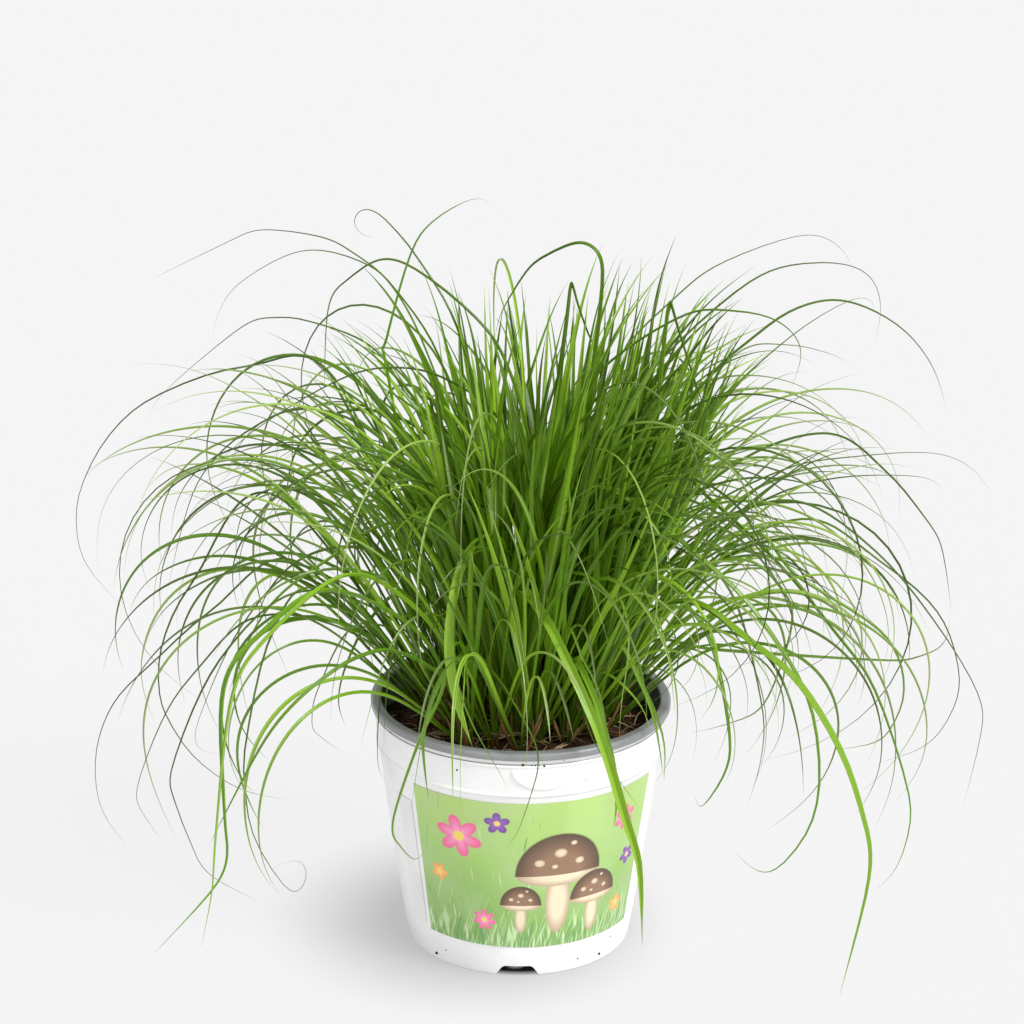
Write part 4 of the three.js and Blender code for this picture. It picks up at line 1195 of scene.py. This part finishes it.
def ridge_profile(height):
    """A ridge with a rounded back, from its lower to its upper side."""
    points = []
    for step in range(-4, 5):
        share = step / 4
        z = height + share * RIDGE_HALF_HEIGHT
        points.append((collar_radius(z) + RIDGE_SWELL * (1 - share * share), z))
    return points


def arc(centre, radius, start, end, steps):
    angles = [math.radians(mix(start, end, step / steps)) for step in range(steps + 1)]
    return [(centre[0] + radius * math.cos(a), centre[1] + radius * math.sin(a)) for a in angles]


floor_top = FLOOR_RISE + FLOOR_THICKNESS
ring_inner = WALL_FOOT_RADIUS - FOOT_RING_WIDTH
lip_low = POT_HEIGHT - LIP_DROP
lip_inner = LIP_RADIUS - LIP_WIDTH
under_floor = [(0, FLOOR_RISE), (ring_inner - 1, FLOOR_RISE), (ring_inner, 0.4),
               (ring_inner + 0.5, 0)]
outside = [(WALL_FOOT_RADIUS - 0.5, 0), (WALL_FOOT_RADIUS - 0.1, 0.25), (WALL_FOOT_RADIUS, 0.7)]
outside += [(wall_radius(z), z) for z in np.linspace(8, LOWER_RIDGE_HEIGHT - 1.6, 8)]
outside += ridge_profile(LOWER_RIDGE_HEIGHT) + ridge_profile(UPPER_RIDGE_HEIGHT)
outside += [(COLLAR_RADIUS, lip_low - 1.8), (LIP_RADIUS - 0.6, lip_low - 0.05)]
lip = [(LIP_RADIUS - 0.5, lip_low), *arc((LIP_RADIUS - 0.5, lip_low + 0.5), 0.5, -70, 0, 3)]
lip += arc((LIP_RADIUS - 1.2, POT_HEIGHT - 1.2), 1.2, 0, 90, 6)
lip += arc((lip_inner + 1.1, POT_HEIGHT - 1.1), 1.1, 90, 180, 6)
inside = [(lip_inner, POT_HEIGHT - 2), (collar_radius(UPPER_RIDGE_HEIGHT) - 1.3, lip_low - 1.5),
          (wall_radius(LOWER_RIDGE_HEIGHT) - WALL_THICKNESS, LOWER_RIDGE_HEIGHT),
          (wall_radius(floor_top) - WALL_THICKNESS, floor_top), (0, floor_top)]
print("profile points:", len(under_floor + outside + lip + inside))

# %% Turn the profile and cut the foot
TURN_STEPS, SHARP_ANGLE = 144, 35
WHITE_DEPTH, NOTCH_CORNER, DRAIN_STEPS = 0.6, 1.2, 24


def turned(profile, steps):
    """A closed body turned from (radius, height) points that start and end on the axis."""
    form = bmesh.new()
    verts = [form.verts.new((0, -radius, height)) for radius, height in profile]
    chain = [form.edges.new(pair) for pair in zip(verts, verts[1:])]
    bmesh.ops.spin(form, geom=verts + chain, cent=(0, 0, 0), axis=(0, 0, 1),
                   angle=2 * math.pi, steps=steps, use_merge=True, use_duplicate=False)
    bmesh.ops.remove_doubles(form, verts=form.verts[:], dist=1e-4)
    face_outward(form)
    return form


def new_piece(name, form, finishes, smooth_angle=SHARP_ANGLE):
    """Closes a bmesh in millimetres into a piece of the object, in metres."""
    bmesh.ops.scale(form, verts=form.verts[:], vec=(MM, MM, MM))
    mesh = mesh_of(name, form)
    mesh.shade_smooth()
    mesh.set_sharp_from_angle(angle=math.radians(smooth_angle))
    for finish in finishes:
        mesh.materials.append(finish)
    piece = in_scene(name, mesh)
    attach(piece, "root")
    return piece


def part_turn(index, count):
    return Matrix.Rotation(index * 2 * math.pi / count, 4, "Z")


pot_form = turned(under_floor + outside + lip + inside, TURN_STEPS)
for face in pot_form.faces:
    middle = face.calc_center_median()
    radius = math.hypot(middle.x, middle.y)
    is_outer = radius > wall_radius(middle.z) - WHITE_DEPTH and middle.z < lip_low
    faces_out = face.normal.dot(Vector((*middle.xy, 0))) > 0
    is_under_lip = face.normal.z < 0 and middle.z > UPPER_RIDGE_HEIGHT
    face.material_index = 0 if is_outer and (faces_out or is_under_lip) else 1
cutter_form = bmesh.new()
for index in range(NOTCH_COUNT):
    notch = bmesh.ops.create_cube(cutter_form, size=1)["verts"]
    for vert in notch:
        vert.co.x *= NOTCH_WIDTH_AT_FLOOR if vert.co.z < 0 else NOTCH_WIDTH_AT_TOP
        vert.co.y = vert.co.y * NOTCH_DEPTH - WALL_FOOT_RADIUS
        vert.co.z = -1 if vert.co.z < 0 else NOTCH_HEIGHT
    top_half = NOTCH_WIDTH_AT_TOP / 2 + 0.1
    sides = [edge for edge in dict.fromkeys(e for vert in notch for e in vert.link_edges)
             if all(abs(vert.co.x) < top_half for vert in edge.verts)
             and abs(edge.verts[0].co.y - edge.verts[1].co.y) > 1]
    rounded = bmesh.ops.bevel(cutter_form, geom=sides, offset=NOTCH_CORNER, segments=4,
                              profile=0.5, affect="EDGES", clamp_overlap=True)["verts"]
    notch = dict.fromkeys([vert for vert in notch if vert.is_valid] + rounded)
    bmesh.ops.transform(cutter_form, matrix=part_turn(index, NOTCH_COUNT), verts=list(notch))
for index in range(DRAIN_COUNT):
    drain = bmesh.ops.create_cone(
        cutter_form, cap_ends=True, segments=DRAIN_STEPS, radius1=DRAIN_RADIUS,
        radius2=DRAIN_RADIUS, depth=FLOOR_THICKNESS + 2)["verts"]
    lift = Matrix.Translation((0, -DRAIN_CIRCLE, FLOOR_RISE + FLOOR_THICKNESS / 2))
    bmesh.ops.transform(cutter_form, matrix=part_turn(index, DRAIN_COUNT) @ lift, verts=drain)
print("pot faces before the cut:", len(pot_form.faces), "cutters:", NOTCH_COUNT + DRAIN_COUNT)

# %% [markdown]
# ## The plastic
#
# The pot is glossy white polypropylene, a little uneven from the mould, with a grey inner
# layer that shows on the lip. Handling leaves dust and faint scuffs, most of all near the
# floor. The dust is a node group, because the white, the grey and the label all
# carry it, each to its own degree.

# %% Dust group and plastic finishes
DUST, UNEVEN_DEPTH = (0.3, 0.27, 0.21), 0.0002

dust, dust_in, dust_out = new_group(
    "handling_dust",
    [("Clean", COLOUR, (0.8, 0.8, 0.8, 1)), ("Amount", NUMBER, 0.3)],
    [("Color", COLOUR), ("Roughness", NUMBER)])
tree = dust
place = object_place(tree)
clouds = mottle(tree, place, 55.0, 4.0, 0.6)
flecks = mottle(tree, place, 900.0)
low_down = remap(tree, split(tree, place)[2], 0.0, 0.016, 0.75, 0.0, smooth=True)
clouded = remap(tree, clouds, 0.42, 0.72, 0.0, 0.35, smooth=True)
flecked = remap(tree, flecks, 0.66, 0.74, 0.0, 0.6, smooth=True)
dusty = reckon(tree, "ADD", times(tree, low_down, clouds), clouded)
dusty = reckon(tree, "ADD", dusty, times(tree, flecked, dusty), clamp=True)
dusty = times(tree, dusty, dust_in.outputs["Amount"], clamp=True)
feed(tree, dust_out.inputs["Color"],
     blend_colours(tree, dusty, dust_in.outputs["Clean"], DUST))
feed(tree, dust_out.inputs["Roughness"], remap(tree, clouds, 0.3, 0.7, 0.26, 0.42))


def wear(tree, shader, clean, amount, lumps, strength):
    """Lays dust on a clean colour, and makes the surface a little uneven."""
    worn = use_group(tree, dust, Clean=clean, Amount=amount)
    feed(tree, shader.inputs["Base Color"], worn.outputs["Color"])
    feed(tree, shader.inputs["Roughness"], worn.outputs["Roughness"])
    bump(tree, shader, mottle(tree, object_place(tree), lumps, 3.0), strength, UNEVEN_DEPTH)


def plastic_finish(name, colour, amount, specular):
    finish, tree, shader = new_finish(name, 0.3, specular)
    wear(tree, shader, colour, amount, 260.0, 0.12)
    return finish


white_plastic = plastic_finish("white_plastic", (0.8, 0.805, 0.8), 0.3, 0.5)
grey_plastic = plastic_finish("grey_plastic", (0.225, 0.23, 0.24), 0.5, 0.45)
print("plastics:", white_plastic.name, grey_plastic.name)

# %% Make the pot piece
pot = new_piece("pot_shell", pot_form, [white_plastic, grey_plastic])
cutter = new_piece("foot_cutter", cutter_form, [])
cut = pot.modifiers.new("foot_cuts", "BOOLEAN")
cut.object, cut.operation, cut.solver = cutter, "DIFFERENCE", "EXACT"
bpy.context.view_layer.update()
shaped = pot.evaluated_get(bpy.context.evaluated_depsgraph_get())
cut_mesh = bpy.data.meshes.new_from_object(shaped)
pot.modifiers.clear()
pot.data = cut_mesh
pot.data.set_sharp_from_angle(angle=math.radians(SHARP_ANGLE))
bpy.data.objects.remove(cutter)
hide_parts("pot")
floor_shadows.objects.link(pot)
print("pot faces:", len(pot.data.polygons), "materials:", len(pot.data.materials))

# %% [markdown]
# Under the lip, the mould leaves a half-moon pad for the thumb. It starts as a grid, whose
# points are moved into a half disc, raised a little in the middle and bent onto the collar.


# %% Thumb pad on the collar
def on_wall(turn_right, height, proud=0.0):
    """A point on the pot's outside, at an angle to the right of the front."""
    if height < LOWER_RIDGE_HEIGHT - RIDGE_HALF_HEIGHT:
        radius = wall_radius(height) + proud
    else:
        radius = collar_radius(height) + proud
    angle = math.radians(turn_right)
    return Vector((radius * math.sin(angle), -radius * math.cos(angle), height))


PAD_TURN, PAD_TOP, PAD_HALF, PAD_DEPTH, PAD_RISE = 9.6, 95.0, 13.4, 8.8, 0.75
PAD_EDGE, PAD_UPPER_EDGE, PAD_SUNK, PAD_THICK = 0.055, 0.1, 0.1, 0.5

pad_form = bmesh.new()
bmesh.ops.create_grid(pad_form, x_segments=72, y_segments=36, size=1)
for vert in pad_form.verts:
    across, down = vert.co.x * 0.998, (1 - vert.co.y) / 2
    fall = down * math.sqrt(1 - across * across)
    edge = max(abs(across), math.hypot(across, fall))
    swell = smoothsteps((1 - edge) / PAD_EDGE) * smoothsteps(fall / PAD_UPPER_EDGE)
    turn = PAD_TURN + math.degrees(across * PAD_HALF / COLLAR_RADIUS)
    vert.co = on_wall(turn, PAD_TOP - fall * PAD_DEPTH, float(PAD_RISE * swell - PAD_SUNK))
bmesh.ops.solidify(pad_form, geom=pad_form.faces[:], thickness=PAD_THICK)
face_outward(pad_form)
new_piece("thumb_pad", pad_form, [white_plastic], 60)
print("thumb pad spans", 2 * PAD_HALF, "mm")

# %% [markdown]
# Peat crumbs stick to the collar and the foot. Each is a small uneven ball: an icosphere whose
# points are pushed in and out, set nearly half into the wall.

# %% Crumbs on the pot
CRUMB_SEED, LOOSE_SEED, FIBRE_SEED = 3301, 410021, 610031
# Each crumb: degrees to the right of the front, height and radius
CRUMB_PLACES = [(1.1, 96.9, 0.6), (4.5, 96.6, 0.35), (5.8, 96.4, 0.45), (7.4, 96.3, 0.5),
                (9.1, 96.2, 0.6), (16.6, 98.3, 0.6), (-24.5, 92.0, 0.4), (-44.8, 2.6, 0.6),
                (45.0, 3.2, 0.55), (-38.0, 6.0, 0.3), (31.0, 4.6, 0.35), (52.0, 9.0, 0.3),
                (26.0, 88.0, 0.25), (-60.0, 97.0, 0.4), (100.0, 90.0, 0.45),
                (160.0, 96.5, 0.5), (215.0, 5.0, 0.5)]


def uneven_ball(form, radius, inmost, outmost, following):
    verts = bmesh.ops.create_icosphere(form, subdivisions=1, radius=radius)["verts"]
    for vert in verts:
        vert.co = vert.co * mix(inmost, outmost, following())
    return verts


crumb_form = bmesh.new()
for number, (turn, z, radius) in enumerate(CRUMB_PLACES):
    verts = uneven_ball(crumb_form, radius, 0.7, 1.3, draws(CRUMB_SEED + number * SEED_STEP))
    bmesh.ops.translate(crumb_form, verts=verts, vec=on_wall(turn, z, radius * 0.15))

soil_finish, tree, shader = new_finish("peat", 0.95, 0.25)
place = object_place(tree)
lumps = mottle(tree, place, 190.0, 6.0, 0.7)
patches = mottle(tree, place, 45.0)
peat = ramp(tree, lumps, [(0.3, (0.004, 0.0025, 0.0015)), (0.5, (0.028, 0.013, 0.006)),
                          (0.68, (0.11, 0.049, 0.02)), (0.82, (0.24, 0.13, 0.06))])
ruddy = blend_colours(tree, remap(tree, patches, 0.4, 0.65, 0.0, 0.5), peat,
                      (1.5, 0.85, 0.6), "MULTIPLY")
feed(tree, shader.inputs["Base Color"], ruddy)
bump(tree, shader, mottle(tree, place, 700.0, 5.0, 0.7), 0.8, 0.0008)
new_piece("peat_on_pot", crumb_form, [soil_finish])
print("crumbs on the pot:", len(CRUMB_PLACES))

# %% [markdown]
# ## The peat
#
# Potting peat is a mound of dark crumbs and fibres. The mound is turned like the pot, and its
# top is roughened with noise, once coarse and once fine, so that it breaks up the light by its
# shape and not just by its colour. Then loose crumbs and fibres are strewn over it.

# %% Mound of peat
PEAT_STEPS, PEAT_RINGS = 120, 46
WAVE_HEIGHT, WAVE_LENGTH, LUMP_HEIGHT, LUMP_LENGTH, PEAT_SUNK = 1.6, 6, 0.9, 1.9, 0.4

soil_low = floor_top + SOIL_GAP
wall_gap = WALL_THICKNESS + SOIL_GAP * 1.6
soil_edge = wall_radius(LOWER_RIDGE_HEIGHT) - wall_gap
soil_profile = [(0, soil_low), (wall_radius(soil_low) - wall_gap, soil_low),
                (soil_edge, LOWER_RIDGE_HEIGHT)]
soil_profile += [(soil_edge * (1 - ring / PEAT_RINGS), SOIL_EDGE_HEIGHT)
                 for ring in range(PEAT_RINGS + 1)]
soil_form = turned(soil_profile, PEAT_STEPS)
for vert in soil_form.verts:
    if vert.co.z > LOWER_RIDGE_HEIGHT + 1:
        x, y, _ = vert.co
        rough = WAVE_HEIGHT * noise.fractal(
            (x / WAVE_LENGTH, y / WAVE_LENGTH, 1.7), 0.9, 2.1, 5)
        rough += LUMP_HEIGHT * abs(noise.noise((x / LUMP_LENGTH, y / LUMP_LENGTH, 5.0)))
        vert.co.z = ground_height(x, y) + ground_bumps(x, y) + rough - PEAT_SUNK
soil = new_piece("peat_mound", soil_form, [soil_finish], 80)
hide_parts("soil")
print("peat faces:", len(soil.data.polygons))


# %% Loose crumbs and fibres
CRUMBS, FIBRES, LONG_FIBRES = 620, 260, 44
CRUMB_REACH, FIBRE_REACH, FIBRE_LIMIT = 54, 52, 54.6


def strewn(following, reach):
    radius, angle = reach * math.sqrt(following()), 2 * math.pi * following()
    x, y = radius * math.cos(angle), radius * math.sin(angle)
    return Vector((x, y, ground_height(x, y) + ground_bumps(x, y)))


loose_form = bmesh.new()
for number in range(CRUMBS):
    following = draws(LOOSE_SEED + number * SEED_STEP)
    size = mix(0.35, 1.5, following() ** 3)
    verts = uneven_ball(loose_form, size, 0.6, 1.35, following)
    squash = Matrix.Diagonal((1, mix(0.6, 1, following()), mix(0.5, 0.9, following()), 1))
    turn = Matrix.Rotation(following() * 6.28, 4, "Z") @ Matrix.Rotation(following(), 4, "X")
    move = Matrix.Translation(strewn(following, CRUMB_REACH) + Vector((0, 0, size * 0.3)))
    bmesh.ops.transform(loose_form, matrix=move @ turn @ squash, verts=verts)
new_piece("peat_crumbs", loose_form, [soil_finish])


def fibre_blade(following, is_long):
    """A fine blade that lies on the peat; a long one rises a little and falls back."""
    start = strewn(following, FIBRE_REACH) + Vector((0, 0, mix(-0.4, 1.2, following())))
    heading = following() * 2 * math.pi
    lean = math.radians(mix(52, 84, following()) if is_long else mix(72, 96, following()))
    bend = math.radians(mix(95, 135, following()) if is_long else mix(60, 115, following()))
    length = mix(20, 46, following()) if is_long else mix(5, 26, following() ** 1.6)
    shape = (heading, mix(-2.5, 2.5, following()), lean, bend, 0, 1, length)
    return {"spine": leaning(tuple(start), shape), "width": mix(0.25, 0.6, following()),
            "roll": following() * 6, "twist": 2.0, "fold": 0.2, "thick": 0.25, "buried": 0.3}


def is_in_pot(blade):
    line = blade["spine"](12)[:, :3]
    return bool(np.all(np.hypot(line[:, 0], line[:, 1]) < FIBRE_LIMIT))


fibre_strip = straight_blade("fibre_strip", 12, 1)
fibres = []
for number in range(FIBRES + LONG_FIBRES):
    following = draws(FIBRE_SEED + number * SEED_STEP)
    blade = fibre_blade(following, number >= FIBRES)
    while not is_in_pot(blade):
        blade = fibre_blade(following, number >= FIBRES)
    fibres.append((fibre_strip, blade, following(), 0))
straw = grow("straw_fibres", fibres, [sedge_straw])
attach(straw, "root")
print("loose crumbs:", CRUMBS, "fibres:", len(fibres))

# %% [markdown]
# ## The label
#
# A thin printed film is wrapped round the front of the wall, and a narrow bare one stands
# beside it. Each starts as a flat grid, is bent onto the cone, and gets its thickness with
# the solidify operator. The print is drawn by nodes, from the film's own UV map: a soft
# meadow, strokes of grass, toadstools and blossoms.

# %% Films on the wall
# Each film: degrees left and right of the front, and the heights of its lower and upper edge
LABEL, SIDE_FILM = (-46.5, 63.0, 13.6, 79.8), (-59.0, -49.5, 15.5, 71.0)
FILM_PROUD, FILM_THICK = 0.16, 0.14


def wall_film(left, right, low, high, columns, rows=24):
    form = bmesh.new()
    form.loops.layers.uv.new("UVMap")
    bmesh.ops.create_grid(form, x_segments=columns, y_segments=rows, size=1, calc_uvs=True)
    for vert in form.verts:
        turn = mix(left, right, (vert.co.x + 1) / 2)
        vert.co = on_wall(turn, mix(low, high, (vert.co.y + 1) / 2), FILM_PROUD)
    face_outward(form)
    bmesh.ops.solidify(form, geom=form.faces[:], thickness=FILM_THICK)
    face_outward(form)
    return form


film_form = wall_film(*LABEL, 72)
bare_film = plastic_finish("bare_film", (0.75, 0.75, 0.75), 0.4, 0.5)
new_piece("side_film", wall_film(*SIDE_FILM, 8), [bare_film], 60)
print("label spans", LABEL[1] - LABEL[0], "degrees of the wall")

# %% Print of the label
PRINT_WIDE, PRINT_HIGH = 99.0, 66.2

petals, petals_in, petals_out = new_group(
    "blossom",
    [("Place", VECTOR, (0, 0, 0)), ("X", NUMBER, 0.0), ("Y", NUMBER, 0.0),
     ("Size", NUMBER, 5.0), ("Petals", NUMBER, 5.0), ("Turn", NUMBER, 0.0)],
    [("Petal", NUMBER), ("Heart", NUMBER), ("Shade", NUMBER)])
tree, given = petals, petals_in.outputs
spot = split(tree, given["Place"])
dx, dy = (reckon(tree, "SUBTRACT", spot[0], given["X"]),
          reckon(tree, "SUBTRACT", spot[1], given["Y"]))
off = length_of(tree, dx, dy)
angle = reckon(tree, "ADD", reckon(tree, "ARCTAN2", dy, dx), given["Turn"])
wave = reckon(tree, "COSINE", times(tree, angle, times(tree, given["Petals"], 0.5)))
wave = times(tree, reckon(tree, "ABSOLUTE", wave), 0.5)
rim = times(tree, given["Size"], reckon(tree, "ADD", 0.5, wave))
share = reckon(tree, "DIVIDE", off, rim)
feed(tree, petals_out.inputs["Petal"], remap(tree, share, 0.93, 1.03, 1.0, 0.0, smooth=True))
feed(tree, petals_out.inputs["Shade"], remap(tree, share, 0.3, 1.0))
share = reckon(tree, "DIVIDE", off, given["Size"])
feed(tree, petals_out.inputs["Heart"], remap(tree, share, 0.2, 0.26, 1.0, 0.0, smooth=True))

oval, oval_in, oval_out = new_group(
    "oval",
    [("Place", VECTOR, (0, 0, 0)), ("X", NUMBER, 0.0), ("Y", NUMBER, 0.0),
     ("Wide", NUMBER, 5.0), ("High", NUMBER, 5.0), ("Floor", NUMBER, -100.0)],
    [("Mask", NUMBER), ("Share", NUMBER)])
tree, given = oval, oval_in.outputs
spot = split(tree, given["Place"])
ex, ey = (reckon(tree, "DIVIDE", reckon(tree, "SUBTRACT", value, given[middle]), given[half])
          for value, middle, half in [(spot[0], "X", "Wide"), (spot[1], "Y", "High")])
share = length_of(tree, ex, ey)
above = reckon(tree, "GREATER_THAN", spot[1], given["Floor"])
mask = remap(tree, share, 0.96, 1.02, 1.0, 0.0, smooth=True)
feed(tree, oval_out.inputs["Mask"], times(tree, mask, above))
feed(tree, oval_out.inputs["Share"], share)

label_finish, tree, shader = new_finish("printed_film", 0.34, 0.5)
paper_place = stretched(tree, uv_place(tree), (PRINT_WIDE, PRINT_HIGH, 1))
print_x, print_y, _ = split(tree, paper_place)
haze = mottle(tree, paper_place, 0.045)
meadow = ramp(tree, reckon(tree, "DIVIDE", print_y, PRINT_HIGH), [
    (0.0, (0.19, 0.35, 0.08)), (0.3, (0.24, 0.42, 0.1)), (0.65, (0.34, 0.54, 0.14)),
    (1.0, (0.41, 0.59, 0.16))])
meadow = blend_colours(tree, remap(tree, haze, 0.35, 0.7, 0.0, 0.55), meadow,
                       (0.41, 0.55, 0.28))
for number, (lean, fine, top, colour) in enumerate([
        (0.25, 1.3, 30, (0.16, 0.34, 0.09)), (-0.3, 1.0, 26, (0.43, 0.62, 0.27)),
        (0.12, 0.8, 20, (0.52, 0.68, 0.38)), (-0.15, 0.9, 15, (0.12, 0.28, 0.08))]):
    skewed = reckon(tree, "ADD", print_x, times(tree, print_y, lean))
    slant = joined(tree, skewed, times(tree, print_y, 0.06), 7.0 * number)
    strokes = mottle(tree, slant, fine, 1.0)
    fade = remap(tree, print_y, 3.0, top, 0.5, 0.72)
    stroke = remap(tree, reckon(tree, "SUBTRACT", strokes, fade), 0.0, 0.05, 0.0, 0.75,
                   smooth=True)
    meadow = blend_colours(tree, stroke, meadow, colour)


def print_oval(picture, x, y, wide, high, colour, edge, floor_at=-100.0, strength=1.0):
    """Prints an oval that shades into another colour at its edge; floor_at cuts it off."""
    mark = use_group(tree, oval, Place=paper_place, X=x, Y=y, Wide=wide, High=high,
                     Floor=floor_at)
    tint = blend_colours(tree, remap(tree, mark.outputs["Share"], 0.5, 1.0), colour, edge)
    mask = times(tree, mark.outputs["Mask"], strength)
    return blend_colours(tree, mask, picture, tint)


def print_blossom(picture, x, y, size, count, turn, colour, edge, heart):
    mark = use_group(tree, petals, Place=paper_place, X=x, Y=y, Size=size, Petals=count,
                     Turn=turn)
    tint = blend_colours(tree, mark.outputs["Shade"], colour, edge)
    tint = blend_colours(tree, mark.outputs["Heart"], tint, heart)
    return blend_colours(tree, mark.outputs["Petal"], picture, tint)


CREAM, CREAM_EDGE = (0.72, 0.62, 0.44), (0.42, 0.31, 0.2)
BROWN, BROWN_EDGE = (0.26, 0.15, 0.09), (0.075, 0.045, 0.03)
picture = meadow
for x, y, size in [(58, 34, 1.0), (74, 21, 0.62), (43, 20, 0.48)]:
    for drop, wide, high, colour, edge, floor_at in [
            (13, 5.2, 15, CREAM, CREAM_EDGE, -100.0), (1, 17, 5.0, CREAM, CREAM_EDGE, -100.0),
            (1, 17.5, 19, BROWN, BROWN_EDGE, y - size)]:
        picture = print_oval(picture, x, y - drop * size, wide * size, high * size, colour,
                             edge, floor_at)
    for sx, sy, dot in [(-8, 5, 2.1), (0, 9, 2.6), (8, 4.5, 1.9), (-2, 3, 1.3), (5, 13, 1.3)]:
        picture = print_oval(picture, x + sx * size, y + sy * size, dot * size,
                             dot * size * 0.8, CREAM, CREAM_EDGE, strength=0.85)
PINK, PINK_EDGE, YOLK = (0.85, 0.3, 0.5), (0.75, 0.1, 0.25), (0.8, 0.6, 0.12)
VIOLET, VIOLET_EDGE = (0.3, 0.12, 0.45), (0.14, 0.05, 0.25)
ORANGE, ORANGE_EDGE = (0.85, 0.5, 0.15), (0.75, 0.3, 0.08)
for x, y, size, count, turn, colour, edge in [
        (19, 49, 9.5, 6, 0.3, PINK, PINK_EDGE), (34, 57, 5.0, 5, 0.9, VIOLET, VIOLET_EDGE),
        (9, 30, 4.2, 5, 0.1, ORANGE, ORANGE_EDGE), (86, 52, 5.6, 6, 0.6, PINK, PINK_EDGE),
        (91, 33, 4.4, 5, 0.4, VIOLET, VIOLET_EDGE), (28, 12, 5.0, 7, 0.2, PINK, PINK_EDGE),
        (88, 12, 4.2, 5, 1.0, ORANGE, ORANGE_EDGE)]:
    picture = print_blossom(picture, x, y, size, count, turn, colour, edge, YOLK)
wear(tree, shader, picture, 0.25, 200.0, 0.1)
new_piece("label_film", film_form, [label_finish], 60)
print("label nodes:", len(tree.nodes))
